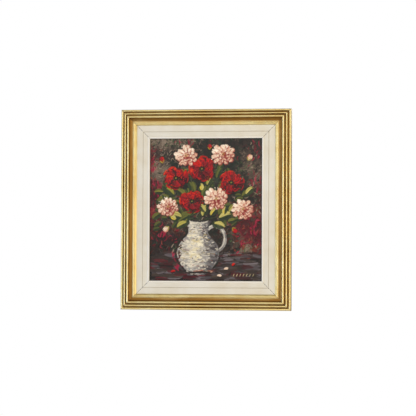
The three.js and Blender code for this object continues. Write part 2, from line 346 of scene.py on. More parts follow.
def planed_pine():
    material, tree, shader = new_material("planed_pine")
    strip = add(tree, "SeparateXYZ", {"Vector": add(tree, "UVMap", uv_map="rail")})
    place = add(tree, "TexCoord").outputs["Object"]
    depth = add(tree, "SeparateXYZ", {"Vector": place}).outputs["Y"]
    solid = add(tree, "CombineXYZ", {"X": strip, "Y": strip.outputs["Y"], "Z": depth})
    grain = add(tree, "Mapping", {"Vector": solid, "Scale": (0.06, 1.0, 1.0)})
    figure = add(tree, "TexNoise", {"Vector": grain, "Scale": every(RING), "Detail": 1.0,
                                    "Distortion": 0.4})
    rings = add(tree, "Math", {0: figure, 1: RINGS_SEEN}, operation="MULTIPLY")
    ring = add(tree, "Math", {0: rings}, operation="FRACT")
    early = add(tree, "Math", {0: ring, 1: 0.7}, operation="MULTIPLY")
    pores = add(tree, "TexNoise", {"Vector": grain, "Scale": every(PORE), "Detail": 4.0,
                                   "Roughness": 0.6})
    wood = add(tree, "Math", {0: pores, 1: 0.3, 2: early}, operation="MULTIPLY_ADD")
    fresh = add(tree, "ValToRGB", {"Fac": wood}, stops=[(0.2, PINE), (0.8, PINE_RING), (0.92, PINE)])
    stain = add(tree, "TexNoise", {"Vector": place, "Scale": every(55), "Detail": 5.0,
                                   "Roughness": 0.65})
    age = add(tree, "ValToRGB", {"Fac": stain}, stops=[(0.45, 0.0), (0.75, 0.6)])
    base = add(tree, "Mix", {0: age, COLOUR_A: fresh, COLOUR_B: linear(PINE_AGE)}, data_type="RGBA")
    bump = add(tree, "Bump", {"Height": pores, "Strength": 0.5, "Distance": 0.15 * MM})
    feed(tree, shader, {"Base Color": base.outputs[COLOUR_OUT], "Roughness": 0.72, "Normal": bump})
    return material


pine = planed_pine()
print("made", pine.name)

# %% [markdown]
# ## Gilding
# The moulding is wood under a red-brown clay ground with brass leaf laid over it, then toned with a
# thin umber wash and rubbed. The eye gets a soft metal gloss, faint seams where the leaves lap,
# a slightly different tone from leaf to leaf, dull brown in the quirks and the cove, which is the wash
# with painted shade over it, and bright, rubbed crests.

# %% Brass leaf
LEAF_LENGTH = 84
WIPE = 2.2
LEAF_PALE = "#F0E2AA"
LEAF_DEEP = "#E4C984"
LEAF_WASH_AND_SHADE = "#936B32"
CLAY_GROUND = "#7A3B22"


def brass_leaf():
    material, tree, shader = new_material("brass_leaf_on_clay_ground")
    along = add(tree, "UVMap", uv_map="rail")
    place = add(tree, "TexCoord").outputs["Object"]
    hollow = add(tree, "Attribute", attribute_name="hollow").outputs["Fac"]
    mitre = add(tree, "Attribute", attribute_name="from_mitre").outputs["Fac"]
    # An offset that changes with the place keeps the seams of opposite rails from lining up.
    shift = add(tree, "TexNoise", {"Vector": place, "Scale": 1.3, "Detail": 0.0})
    along_rail = add(tree, "SeparateXYZ", {"Vector": along})
    run = add(tree, "Math", {0: shift, 1: 0.12, 2: along_rail}, operation="MULTIPLY_ADD")
    laid = {"W": run, "Scale": every(LEAF_LENGTH), "Randomness": 0.35}
    leaf = add(tree, "TexVoronoi", laid, voronoi_dimensions="1D")
    seam = add(tree, "TexVoronoi", laid, voronoi_dimensions="1D", feature="DISTANCE_TO_EDGE")
    leaf_tone = add(tree, "SeparateColor", {"Color": leaf.outputs["Color"]})
    cloud = add(tree, "TexNoise", {"Vector": place, "Scale": every(34), "Detail": 4.0,
                                   "Roughness": 0.55})
    tone = add(tree, "Math", {0: leaf_tone, 1: 0.2, 2: cloud}, operation="MULTIPLY_ADD")
    gold = add(tree, "ValToRGB", {"Fac": tone}, stops=[(0.35, LEAF_DEEP), (0.95, LEAF_PALE)])
    # The wash lies in the hollows with painted shade over it, and was wiped along the rail, so it thins
    # out in streaks.
    stretched = add(tree, "Mapping", {"Vector": along, "Scale": (0.02, 1.0, 1.0)})
    streak = add(tree, "TexNoise", {"Vector": stretched, "Scale": every(WIPE), "Detail": 2.0})
    # It was rubbed back more in some stretches than in others.
    rubbing = add(tree, "TexNoise", {"Vector": place, "Scale": every(150), "Detail": 2.0})
    left_on = add(tree, "MapRange", {"Value": rubbing, "From Min": 0.35, "From Max": 0.65,
                                     "To Min": -0.04, "To Max": 0.12})
    wash_and_shade_amount = add(tree, "Math", {0: streak, 1: 0.22, 2: hollow}, operation="MULTIPLY_ADD")
    wash_and_shade_amount = add(tree, "Math", {0: wash_and_shade_amount, 1: left_on}, operation="ADD")
    wash_and_shade = add(tree, "ValToRGB", {"Fac": wash_and_shade_amount}, stops=[(0.16, 0.0), (0.75, 0.62), (0.98, 1.0)])
    toned_and_shaded = add(tree, "Mix", {0: wash_and_shade, COLOUR_A: gold, COLOUR_B: linear(LEAF_WASH_AND_SHADE)}, data_type="RGBA")
    # The clay shows in small breaks along the seams, at the mitres and in a few rubbed spots.
    broken = add(tree, "TexNoise", {"Vector": place, "Scale": every(9), "Detail": 5.0,
                                    "Roughness": 0.7})
    seam_line = add(tree, "ValToRGB", {"Fac": seam}, stops=[(0.0, 0.08), (0.012, 0.0)])
    joint = add(tree, "MapRange", {"Value": mitre, "From Max": 2.0 * MM, "To Min": 0.42, "To Max": 0.0})
    worn = add(tree, "Math", {0: broken, 1: seam_line}, operation="ADD")
    worn = add(tree, "Math", {0: worn, 1: joint}, operation="ADD")
    clay = add(tree, "ValToRGB", {"Fac": worn}, stops=[(0.72, 0.0), (0.8, 0.55)])
    base = add(tree, "Mix", {0: clay, COLOUR_A: toned_and_shaded.outputs[COLOUR_OUT],
                             COLOUR_B: linear(CLAY_GROUND)}, data_type="RGBA")
    metal = add(tree, "MapRange", {"Value": clay, "To Min": 1.0, "To Max": 0.3})
    haze = add(tree, "MapRange", {"Value": cloud, "From Min": 0.3, "From Max": 0.7,
                                  "To Min": 0.35, "To Max": 0.44})
    rough = add(tree, "Math", {0: wash_and_shade, 1: 0.12, 2: haze}, operation="MULTIPLY_ADD")
    # Creases run along the rail, as the leaf was brushed down along it.
    lap = add(tree, "ValToRGB", {"Fac": seam}, stops=[(0.0, 1.0), (0.012, 0.0)])
    height = add(tree, "Math", {0: lap, 1: 0.2, 2: streak}, operation="MULTIPLY_ADD")
    bump = add(tree, "Bump", {"Height": height, "Strength": 0.15, "Distance": 0.05 * MM})
    feed(tree, shader, {"Base Color": base.outputs[COLOUR_OUT], "Metallic": metal, "Roughness": rough,
                        "Normal": bump})
    return material


gilding = brass_leaf()
print("made", gilding.name)

# %% [markdown]
# ## The gilt moulding
# From its outer edge the moulding has a bead, a groove, a higher bead, a quirk, the crown, a deep
# cove and a small bead between two fillets, and a bevelled nose that covers the liner. It could be
# cut from a block, but a swept outline is how mouldings are made, and its rounds stay true.

# %% The outline of the moulding
TOUCH = 0.3  # left between two pieces that bear on each other
LIP_HEIGHT = (back_y - liner_low.y) / MM + TOUCH
CROWN = 3.5
CREST = LIP_HEIGHT + 16.6
# The radius of each round, the height of its crest or floor, and its turn, from the outer edge in.
ROUNDS = ((4, LIP_HEIGHT + 3.1, -1), (2, LIP_HEIGHT - 3.9, 1), (3, LIP_HEIGHT + 9.6, -1),
          (2.25, LIP_HEIGHT + 2.1, 1), (CROWN, CREST, -1))
CROWN_SIDE = 1.5
COVE = 11.5
COVE_FLOOR = LIP_HEIGHT + 3.4
FILLET = 2
FILLET_TOP = LIP_HEIGHT + 4.3
INNER_BEAD = 3
NOSE_EDGE = 1
LIP_COVER = 8
RABBET_DEPTH = 18
ARRIS = 0.3
GILT_CUTS = 24


def gilt_outline():
    face = gilt_face / MM
    pen = Pen(ARRIS, 0)
    pen.line((0, ARRIS))
    at = 0
    for radius, crest, turn in ROUNDS:
        pen.line((at, crest + turn * radius))
        pen.arc(at + radius, crest + turn * radius, turn * 2 * QUARTER)
        at += 2 * radius
    cove_start, cove_end = at, at + COVE
    cove_top = CREST - CROWN - CROWN_SIDE
    pen.line((cove_start, cove_top))
    pen.arc(cove_end, cove_top, QUARTER, (cove_top - COVE_FLOOR) / COVE)
    bead_start, bead_end = cove_end + FILLET, cove_end + FILLET + 2 * INNER_BEAD
    pen.line((cove_end, FILLET_TOP - ARRIS), (cove_end + ARRIS, FILLET_TOP), (bead_start, FILLET_TOP))
    pen.arc(bead_start + INNER_BEAD, FILLET_TOP, -2 * QUARTER)
    pen.line((bead_end + FILLET - ARRIS, FILLET_TOP), (bead_end + FILLET, FILLET_TOP - ARRIS),
             (face, LIP_HEIGHT + NOSE_EDGE), (face, LIP_HEIGHT), (face - LIP_COVER, LIP_HEIGHT),
             (face - LIP_COVER, 0))
    mesh = pen.close()
    mark_hollows(mesh, cove=(cove_start, cove_end + FILLET))
    return mesh


print("the crown stands", round(CREST, 1), "mm off the back")

# %% [markdown]
# ## Four gilt rails
# Each rail is the outline swept to its side's length, cut and laid in place with a hair's gap at the
# mitres, where the real joint shows as a fine line. Leaf is laid only where it will be seen, so the
# flat back and the rabbet keep their bare pine.

# %% The four gilt rails
def dress(piece, finish, node=None):
    """Gives a piece its material, lets it ride on the root, and hides the node that it stands for."""
    piece.data.materials.append(finish)
    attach(piece, "root")
    if node:
        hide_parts(node)


def bare_back(piece, placing):
    """Leaves the pine bare on the back and in the rabbet of a rail that has its finish."""
    inwards = placing.to_3x3() @ Vector((1, 0, 0))
    piece.data.materials.append(pine)
    for polygon in piece.data.polygons:
        behind = polygon.normal.y > 0.7
        in_rabbet = polygon.normal.dot(inwards) > 0.9 and polygon.center.y > back_y - RABBET_DEPTH * MM
        polygon.material_index = int(behind or in_rabbet)


for side in SIDES:
    reach, length = rail_lie(side, gilt_low, gilt_high)
    placing = side_matrix(side, reach, 0)
    rail = mitred_rail(f"gilt_rail_{side}", gilt_outline(), length, GILT_CUTS, placing)
    dress(rail, gilding, f"frame_rail_{side}")
    bare_back(rail, placing)
    print(rail.name, "has", len(rail.data.polygons), "faces")

# %% [markdown]
# ## The cream liner
# The liner is a flat wooden slip with a fine groove, a sloping inner band and a rounded sight edge.
# It was painted a warm cream after it was mitred, and the paint has cracked open along the mitres.
# The eye gets a matt, faintly brushed coat that is a little darker in the groove, and a painted
# highlight on the bead at the sight edge.

# %% Cream paint
CREAM = "#E3DDCD"
CREAM_WARM = "#DBD1BB"
CREAM_DARKENED = "#A8997C"
CREAM_BEAD_HIGHLIGHT = "#EFE9DC"
SIGHT_BEAD = 7
CRACK = "#43382D"
CRACK_FINE = 0.35
CRACK_WIDE = 1.2
BRUSH_HAIR = 0.9


def cream_paint():
    material, tree, shader = new_material("matt_cream_paint_on_wood")
    along = add(tree, "UVMap", uv_map="rail")
    place = add(tree, "TexCoord").outputs["Object"]
    hollow = add(tree, "Attribute", attribute_name="hollow").outputs["Fac"]
    cloud = add(tree, "TexNoise", {"Vector": place, "Scale": every(70), "Detail": 4.0,
                                   "Roughness": 0.6})
    coat = add(tree, "ValToRGB", {"Fac": cloud}, stops=[(0.3, CREAM_WARM), (0.65, CREAM)])
    # The coat is darker in faint specks and in the groove.
    grime = add(tree, "TexNoise", {"Vector": place, "Scale": every(6), "Detail": 5.0, "Roughness": 0.7})
    low = add(tree, "Math", {0: grime, 1: 0.12, 2: hollow}, operation="MULTIPLY_ADD")
    specks_and_groove_dark = add(tree, "ValToRGB", {"Fac": low}, stops=[(0.08, 0.0), (0.2, 0.7)])
    # The bead at the sight edge is painted paler than the rest, a painted highlight.
    across = add(tree, "SeparateXYZ", {"Vector": along}).outputs["Y"]
    bead = add(tree, "MapRange", {"Value": across, "From Min": liner_width - SIGHT_BEAD * MM,
                                  "From Max": liner_width - 0.6 * SIGHT_BEAD * MM, "To Max": 0.8})
    painted_bead_highlight = add(tree, "Mix", {0: bead, COLOUR_A: coat, COLOUR_B: linear(CREAM_BEAD_HIGHLIGHT)},
                data_type="RGBA")
    worn = add(tree, "Mix", {0: specks_and_groove_dark, COLOUR_A: painted_bead_highlight.outputs[COLOUR_OUT],
                             COLOUR_B: linear(CREAM_DARKENED)}, data_type="RGBA")
    # The mitres have opened a little, and the paint has broken unevenly along them.
    mitre = add(tree, "Attribute", attribute_name="from_mitre").outputs["Fac"]
    breaks = add(tree, "TexNoise", {"Vector": place, "Scale": every(7), "Detail": 4.0})
    width = add(tree, "MapRange", {"Value": breaks, "From Min": 0.42, "From Max": 0.62,
                                   "To Min": CRACK_FINE * MM, "To Max": CRACK_WIDE * MM})
    open_joint = add(tree, "Math", {0: mitre, 1: width}, operation="LESS_THAN")
    base = add(tree, "Mix", {0: open_joint, COLOUR_A: worn.outputs[COLOUR_OUT],
                             COLOUR_B: linear(CRACK)}, data_type="RGBA")
    stretched = add(tree, "Mapping", {"Vector": along, "Scale": (0.03, 1.0, 1.0)})
    hairs = add(tree, "TexNoise", {"Vector": stretched, "Scale": every(BRUSH_HAIR), "Detail": 2.0})
    rough = add(tree, "MapRange", {"Value": hairs, "To Min": 0.42, "To Max": 0.58})
    bump = add(tree, "Bump", {"Height": hairs, "Strength": 0.35, "Distance": 0.1 * MM})
    feed(tree, shader, {"Base Color": base.outputs[COLOUR_OUT], "Roughness": rough, "Normal": bump})
    return material


cream = cream_paint()
print("made", cream.name)

# %% [markdown]
# ## Four liner rails
# The liner is cut and mitred as the moulding is. Its outline is short enough to draw stroke by
# stroke: a flat band, a fine groove, two slopes with a small step between them, the round sight edge
# and the rabbet that takes the canvas.

# %% The four liner rails
LIP_HIDDEN = 7.7
LINER_BAND = 20.5
LINER_GROOVE = 2.5
GROOVE_DEPTH = 1
UPPER_SLOPE = 6.5
LOWER_SLOPE = 8.5
LINER_FALL = 1.8
LINER_STEP = 0.4
SIGHT_BEAD_RISE = 1.5
RABBET_WALL = 5.5
LINER_CUTS = 20


def liner_outline():
    front = (back_y - liner_low.y) / MM
    back = (back_y - liner_high.y) / MM
    lip = (back_y - canvas_low.y) / MM + TOUCH
    width = liner_width / MM
    groove_start = LIP_HIDDEN + LINER_BAND
    slope_start = groove_start + LINER_GROOVE
    step = slope_start + UPPER_SLOPE
    slope_end = step + LOWER_SLOPE
    step_top = front - (LINER_FALL - LINER_STEP) * UPPER_SLOPE / (UPPER_SLOPE + LOWER_SLOPE)
    foot = front - LINER_FALL
    groove_floor = front - GROOVE_DEPTH
    pen = Pen(0, back)
    pen.line((0, front), (groove_start, front), (groove_start + LINER_GROOVE * 0.35, groove_floor),
             (groove_start + LINER_GROOVE * 0.65, groove_floor), (slope_start, front),
             (step - ARRIS, step_top), (step, step_top - LINER_STEP), (slope_end, foot))
    pen.arc(slope_end + SIGHT_BEAD / 2, foot, -2 * QUARTER, SIGHT_BEAD_RISE / (SIGHT_BEAD / 2))
    rabbet = width - RABBET_WALL
    pen.line((width, lip + ARRIS), (width - ARRIS, lip), (rabbet, lip), (rabbet, back))
    mesh = pen.close()
    mark_hollows(mesh)
    return mesh


for side in SIDES:
    reach, length = rail_lie(side, liner_low, liner_high)
    placing = side_matrix(side, reach, 0)
    rail = mitred_rail(f"liner_rail_{side}_painted", liner_outline(), length, LINER_CUTS, placing)
    dress(rail, cream, f"liner_rail_{side}")
    bare_back(rail, placing)
    print(rail.name, "has", len(rail.data.polygons), "faces")

# %% [markdown]
# ## Raw linen
# The cloth is drawn over the front and sides of the stretcher and turned over behind it, where each
# corner is folded like a parcel. Behind and at the sides it is raw linen: two crossed bands of thread,
# thickened here and there by slubs. The eye gets a dull, grey-brown cloth with a faint soft sheen.

# %% Raw linen
LINEN = "#B9A27C"
LINEN_DARK = "#8E7850"
THREAD = 1.0
WAVE_STEPS = 20  # bands that a wave texture draws in one unit of its scale


def raw_linen():
    material, tree, shader = new_material("raw_linen_canvas")
    place = add(tree, "TexCoord").outputs["Object"]
    # Real threads are 0.5 mm apart; they are drawn twice as coarse so that they show close up.
    thread = {"Vector": place, "Scale": every(THREAD) / WAVE_STEPS, "Distortion": 1.4, "Detail": 1.0,
              "Detail Scale": 2.0}
    warp = add(tree, "TexWave", thread, bands_direction="X").outputs["Fac"]
    weft = add(tree, "TexWave", thread, bands_direction="Z").outputs["Fac"]
    weave = add(tree, "Math", {0: warp, 1: weft}, operation="MULTIPLY")
    slub = add(tree, "TexNoise", {"Vector": place, "Scale": every(9), "Detail": 5.0, "Roughness": 0.65})
    tone = add(tree, "Math", {0: weave, 1: 0.2, 2: slub}, operation="MULTIPLY_ADD")
    cloth = add(tree, "ValToRGB", {"Fac": tone}, stops=[(0.3, LINEN_DARK), (0.7, LINEN)])
    bump = add(tree, "Bump", {"Height": weave, "Strength": 0.35, "Distance": 0.2 * MM})
    feed(tree, shader, {"Base Color": cloth, "Roughness": 0.9, "Sheen Weight": 0.2, "Normal": bump})
    return material


linen = raw_linen()
print("made", linen.name)

# %% [markdown]
# ## The cloth and its hem
# A box that has lost its back is the cloth's outer face, and a ring drawn in from its open edge is
# the hem. A simulation isn't needed, because the cloth is pulled tight. A Solidify modifier gives it
# its thickness, inwards, so the size stays that of the frame.

# %% The cloth and its hem
CLOTH = 0.7
CLOTH_ROUND = 1.2
HEM = 26


def bevel_edges(mesh, chosen, offset, segments):
    """Rounds the edges that a test picks."""
    edges = [edge for edge in mesh.edges if chosen(edge)]
    bmesh.ops.bevel(mesh, geom=edges, offset=offset * MM, segments=segments, profile=0.5,
                    affect="EDGES", material=-1, clamp_overlap=True)


def stretched_cloth():
    mesh = bmesh.new()
    bmesh.ops.create_cube(mesh, size=1)
    bmesh.ops.scale(mesh, vec=canvas_high - canvas_low, verts=mesh.verts)
    back = [face for face in mesh.faces if face.normal.y > 0.5]
    bmesh.ops.delete(mesh, geom=back, context="FACES_ONLY")
    bevel_edges(mesh, lambda edge: not edge.is_boundary, CLOTH_ROUND, 3)
    rim = [edge for edge in mesh.edges if edge.is_boundary]
    hem = bmesh.ops.extrude_edge_only(mesh, edges=rim)["geom"]
    for vert in verts_of(hem):
        vert.co.x -= math.copysign(HEM * MM, vert.co.x)
        vert.co.z -= math.copysign(HEM * MM, vert.co.z)
    bmesh.ops.translate(mesh, vec=canvas_middle, verts=mesh.verts)
    sheet = finish_mesh(mesh, "canvas_cloth")
    wall = sheet.modifiers.new("cloth", "SOLIDIFY")
    wall.thickness = CLOTH * MM
    wall.offset = -1
    wall.use_even_offset = True
    return sheet


cloth = stretched_cloth()
dress(cloth, linen, "canvas")
print("cloth faces:", len(cloth.data.polygons))

# %% [markdown]
# ## The folded corners
# At a corner the spare cloth is tucked in and laid over the hem as a doubled triangle. One triangle
# is drawn, thickened, its rim softened, and turned to the four corners.

# %% The folded corners
FOLD_THICK = 0.8
FOLD_LONG = 16
FOLD_ROUND = 0.12
FOLD_INSET = 0.4
FOLD_SUNK = 0.05
TO_BACK = Matrix(((1, 0, 0), (0, 0, 1), (0, 1, 0))).to_4x4()


def thicken(mesh, thickness):
    """Draws the faces of a flat mesh out along Z, so that they become a closed solid."""
    drawn = bmesh.ops.extrude_face_region(mesh, geom=mesh.faces[:])["geom"]
    bmesh.ops.translate(mesh, vec=(0, 0, thickness * MM), verts=verts_of(drawn))
    bmesh.ops.recalc_face_normals(mesh, faces=mesh.faces)


def lay_copies(mesh, placings):
    """Lays a copy of the whole mesh at each placing, and takes the pattern away."""
    pattern = all_of(mesh)
    for placing in placings:
        copied = bmesh.ops.duplicate(mesh, geom=pattern)["geom"]
        bmesh.ops.transform(mesh, matrix=placing, verts=verts_of(copied))
    bmesh.ops.delete(mesh, geom=verts_of(pattern), context="VERTS")


def corner_folds():
    """Lays the doubled triangle of each folded corner on the hem, its slanting edge inwards."""
    pen = Pen(0, 0)
    pen.line((HEM, HEM), (0, HEM + FOLD_LONG))
    mesh = pen.close()
    bmesh.ops.edgeloop_fill(mesh, edges=mesh.edges[:])
    thicken(mesh, FOLD_THICK)
    bevel_edges(mesh, lambda edge: edge.calc_face_angle(0) > SHARP, FOLD_ROUND, 2)
    half = (canvas_high - canvas_low) / 2 - Vector((FOLD_INSET, 0, FOLD_INSET)) * MM
    hem_y = canvas_high.y - FOLD_SUNK * MM
    placings = []
    for turns, (across, up) in enumerate(((-1, -1), (-1, 1), (1, 1), (1, -1))):
        corner = Vector((middle.x + across * half.x, hem_y, middle.z + up * half.z))
        placings.append(Matrix.Translation(corner) @ Matrix.Rotation(turns * QUARTER, 4, "Y") @ TO_BACK)
    lay_copies(mesh, placings)
    return finish_mesh(mesh, "canvas_corner_folds")


folds = corner_folds()
dress(folds, linen)
print("fold faces:", len(folds.data.polygons))

# %% [markdown]
# ## Painting with strokes
# An oil painting is a relief of brush strokes, so this one is painted in code the way a painter
# works, from the dark ground to the last lights. A fine grid covers the canvas. Each stroke lays
# its colour and its body of paint on the grid points under it, with bristle marks along its length,
# ridges at its sides and a ragged, dry end. The picture is an invented still life.

# %% The grid that takes the paint
PAINT_STEP = 1.43
PAINT_INSET = 2
BRISTLE = 1.5

rng = np.random.default_rng(1957)
paint_half_x = (canvas_high.x - canvas_low.x) / 2 / MM - PAINT_INSET
paint_half_z = (canvas_high.z - canvas_low.z) / 2 / MM - PAINT_INSET
columns = int(2 * paint_half_x / PAINT_STEP)
rows = int(2 * paint_half_z / PAINT_STEP)
grid_x = np.linspace(-paint_half_x, paint_half_x, columns + 1)
grid_z = np.linspace(-paint_half_z, paint_half_z, rows + 1)
body = np.zeros((rows + 1, columns + 1))
tint = np.zeros((rows + 1, columns + 1, 3))


def window(low_x, high_x, low_z, high_z):
    """The grid rows and columns inside a box, and the places of their points."""
    across = slice(*np.searchsorted(grid_x, (low_x, high_x)))
    up = slice(*np.searchsorted(grid_z, (low_z, high_z)))
    return up, across, grid_x[across][None, :], grid_z[up][:, None]


def away(place, reach, angle, squash=1.0):
    """The point at a reach and an angle from a place. Squash flattens the circle to an oval."""
    return place[0] + reach * math.cos(angle), place[1] + squash * reach * math.sin(angle)


def anywhere(low, high):
    """A random place of the picture between two heights."""
    return rng.uniform(-paint_half_x, paint_half_x), rng.uniform(low, high)


def ragged(count):
    return rng.random(max(int(count), 2) + 2)


def read(values, where):
    """Reads a row of random values between its entries, where runs from 0 to 1 along it."""
    at = np.clip(where, 0, 0.999) * (len(values) - 1)
    left = at.astype(int)
    return values[left] + (values[left + 1] - values[left]) * (at - left)


print("paint grid:", columns, "by", rows)

# %% [markdown]
# ## One brush stroke
# Each point near a stroke learns how far along it and how far to its side it lies. The brush's width
# and ragged edge decide how much paint it gets, the bristles vary the colour, and the paint piles up
# at the sides. The same arithmetic serves a broad scrub and a fine touch.

# %% One brush stroke
def stroke(start, end, width, colour, load=0.4, bow=0.0, second=None, dry=0.3, cover=0.95, taper=4):
    """Lays one stroke. Bow swings its middle to the left, and second is a colour that it also carries."""
    start, end = np.array(start, float), np.array(end, float)
    length = max(np.hypot(*(end - start)), 0.5)
    reach = width / 2 + abs(bow) + 2
    low, high = np.minimum(start, end) - reach, np.maximum(start, end) + reach
    up, across, x, z = window(low[0], high[0], low[1], high[1])
    if x.size == 0 or z.size == 0:
        return
    run_x, run_z = (end - start) / length
    along = ((x - start[0]) * run_x + (z - start[1]) * run_z) / length
    side = (z - start[1]) * run_x - (x - start[0]) * run_z - 4 * bow * along * (1 - along)
    inside = np.clip(1 - np.abs(2 * along - 1) ** taper, 0, 1) ** 0.5
    edge = width / 2 * inside * (0.88 + 0.24 * read(ragged(length / 4), along))
    lane = side / width + 0.5
    bristles = read(ragged(width / BRISTLE), lane)
    mask = np.clip((edge - np.abs(side)) / 1.1, 0, 1)
    worn = np.clip((along - (1 - dry)) / max(dry, 0.01), 0, 1)
    mask *= np.clip((bristles - worn + 0.35) / 0.3, 0, 1)
    alpha = (mask * cover)[..., None]
    shade = np.array(colour) * (0.8 + 0.4 * bristles)[..., None]
    if second is not None:
        share = np.clip(read(ragged(width / BRISTLE / 2), lane) * 1.6 - 0.5, 0, 1)[..., None]
        shade = shade * (1 - share) + np.array(second) * share
    tint[up, across] = tint[up, across] * (1 - alpha) + shade * alpha
    ridge = 0.55 + 0.35 * np.clip(2 * np.abs(side) / width, 0, 1) ** 2 + 0.8 * (bristles - 0.5)
    kept = body[up, across] * (1 - 0.6 * mask)
    body[up, across] = kept + mask * load * ridge


def pigment(colour):
    return np.array(linear(colour)[:3])


def palette(*colours):
    return [pigment(colour) for colour in colours]


def shaded(colours, amount):
    """A colour between the given ones, darkest first, with a little chance in it."""
    at = np.clip(amount + rng.normal(0, 0.08), 0, 0.999) * (len(colours) - 1)
    left = int(at)
    return colours[left] * (1 - at + left) + colours[left + 1] * (at - left)


print("bristles are", BRISTLE, "mm apart")

# %% [markdown]
# ## The colours of the dark ground
# The ground is a nearly black brown, broken with crimson and russet towards the sides, green where the
# leaves stand and grey-brown light at the upper left. Soft noise decides where each colour gathers,
# so that broad areas form as they do when one brushful follows another.

# %% Colours of the ground
UMBER = palette("#191412", "#2E2420", "#54463C", "#8A7A69")
CRIMSON = palette("#241012", "#41161B", "#6B222C", "#AB3F52")
RUSSET = palette("#1F100E", "#45201B", "#6B3129", "#8A4A3C")
DARK_GREEN = palette("#0D130F", "#19241B", "#2C3A29", "#4B5A38")
REDS = palette("#25060A", "#590C15", "#96141F", "#C0262A", "#DB5A50")
PINKS = palette("#8A3E3C", "#C98674", "#E6BDA2", "#F3DAC0", "#FBEED8")
GREY = palette("#3A3436", "#5B5356", "#857C7E", "#A9A0A0")
TABLE_EDGE = -158


def patches(size):
    """A soft random field over the picture whose patches have about the given size."""
    coarse = rng.random((int(2 * paint_half_z / size) + 3, int(2 * paint_half_x / size) + 3))

    def value(x, z):
        across, up = (x + paint_half_x) / size, (z + paint_half_z) / size
        i, j = int(np.clip(up, 0, coarse.shape[0] - 2)), int(np.clip(across, 0, coarse.shape[1] - 2))
        s, t = up - i, across - j
        low = coarse[i, j] * (1 - t) + coarse[i, j + 1] * t
        high = coarse[i + 1, j] * (1 - t) + coarse[i + 1, j + 1] * t
        return low * (1 - s) + high * s

    return value


hue_field, light_field = patches(75), patches(48)


def ground_colour(x, z):
    red = hue_field(x, z) + 0.35 * abs(x) / paint_half_x - 0.3 * z / paint_half_z
    light = light_field(x, z) + 0.3 * (-x / paint_half_x) * (z / paint_half_z) - 0.12
    if red > 0.95:
        return shaded(CRIMSON, light)
    if z < 90 and rng.random() < 0.5 * abs(x) / paint_half_x + 0.1:
        return shaded(RUSSET, light)
    if abs(x) < 120 and rng.random() < 0.45:
        return shaded(DARK_GREEN, light * 0.8)
    return shaded(UMBER, light)


print("the table's edge lies", TABLE_EDGE + round(paint_half_z), "mm above the foot of the picture")

# %% [markdown]
# ## Scrubbing in
# Broad strokes go on first and narrower ones over them, so the first colours show through in gaps.
# The table below takes long, nearly level strokes, greyer in its middle. Behind the bouquet the dark
# goes in thickest, so that the flowers stand off it.

# %% Scrubbed ground and table
GROUND_LAYERS = ((30, 420), (17, 900), (10, 700))  # width of the brush, number of strokes
TABLE_STROKES = 420
DARK_STROKES = 520
BOUQUET = (4, 62)

tint[:] = UMBER[0]
for brush, count in GROUND_LAYERS:
    for _ in range(count):
        x, z = anywhere(TABLE_EDGE, paint_half_z)
        angle = rng.normal(1.1, 0.9)
        end = away((x, z), brush * rng.uniform(0.9, 2.0), angle)
        stroke((x, z), end, brush * rng.uniform(0.6, 1.1), ground_colour(x, z),
               load=rng.uniform(0.15, 0.5), bow=rng.normal(0, 4), second=ground_colour(x + 20, z + 12),
               dry=0.5, cover=0.85)
for _ in range(TABLE_STROKES):
    x, z = anywhere(-paint_half_z, TABLE_EDGE + 6)
    reach = rng.uniform(22, 62)
    near = 1 - abs(x - 40) / paint_half_x
    colours = UMBER
    if rng.random() < 0.22 + 0.25 * near:
        colours = GREY
    elif rng.random() < 0.45:
        colours = CRIMSON
    stroke((x, z), (x + reach, z + rng.normal(0, 5)), rng.uniform(7, 15),
           shaded(colours, rng.uniform(0.05, 0.6)), load=rng.uniform(0.2, 0.55), bow=rng.normal(0, 2.5),
           second=shaded(UMBER, 0.3), dry=0.5, cover=0.85)
for _ in range(DARK_STROKES):
    around, far = rng.uniform(0, 2 * math.pi), 150 * rng.random() ** 0.6
    place = away(BOUQUET, far, around, 1.05)
    angle, reach = rng.normal(1.2, 0.9), rng.uniform(14, 34)
    stroke(place, away(place, reach, angle), rng.uniform(8, 16),
           shaded(DARK_GREEN, rng.uniform(-0.1, 0.3)), load=rng.uniform(0.2, 0.6), bow=rng.normal(0, 4),
           second=shaded(UMBER, 0.1), dry=0.5, cover=0.75)
print("ground laid, paint up to", round(float(body.max()), 2), "mm")

# %% [markdown]
# ## Broken touches on the ground
# Small touches with more paint in them break the ground up, lighter away from the bouquet. Last come
# crimson glints near the edges and curls of grey-brown light at the upper left. Their ridges catch
# the light, which gives the dark areas the restless surface of thick paint.

# %% Broken touches, glints and curls
BROKEN_TOUCHES = 1500
GLINTS = ((-62, 230), (-166, 66), (-150, -84), (172, 78), (166, -60), (176, 196), (-110, -190))
GLINT_STROKES = 16
CURLS = 110

for _ in range(BROKEN_TOUCHES):
    x, z = anywhere(TABLE_EDGE, paint_half_z)
    angle = rng.normal(0.9, 1.0)
    reach = rng.uniform(7, 20)
    behind = max(1 - math.hypot(x / 150, (z - BOUQUET[1]) / 160), 0)
    bright = light_field(x, z) + 0.4 * (-x / paint_half_x) * (z / paint_half_z) - 0.6 * behind
    reddish = hue_field(x, z) + 0.3 * abs(x) / paint_half_x - 0.3 * z / paint_half_z
    colours = UMBER if rng.random() < 0.65 else DARK_GREEN
    if reddish > 0.85 or rng.random() < 0.06:
        colours = CRIMSON if rng.random() < 0.6 else RUSSET
    stroke((x, z), away((x, z), reach, angle), rng.uniform(2.5, 5.5),
           shaded(colours, bright * 0.9 + rng.normal(0, 0.45)), load=rng.uniform(0.4, 1.2),
           bow=rng.normal(0, 4), dry=0.6, cover=0.95)
for centre_x, centre_z in GLINTS:
    for _ in range(GLINT_STROKES):
        x, z = centre_x + rng.normal(0, 15), centre_z + rng.normal(0, 20)
        stroke((x, z), (x + rng.normal(0, 8), z + rng.uniform(10, 26)), rng.uniform(4, 8),
               shaded(CRIMSON, rng.uniform(0.5, 1.0)), load=0.6, bow=rng.normal(0, 4), dry=0.7,
               cover=0.7)
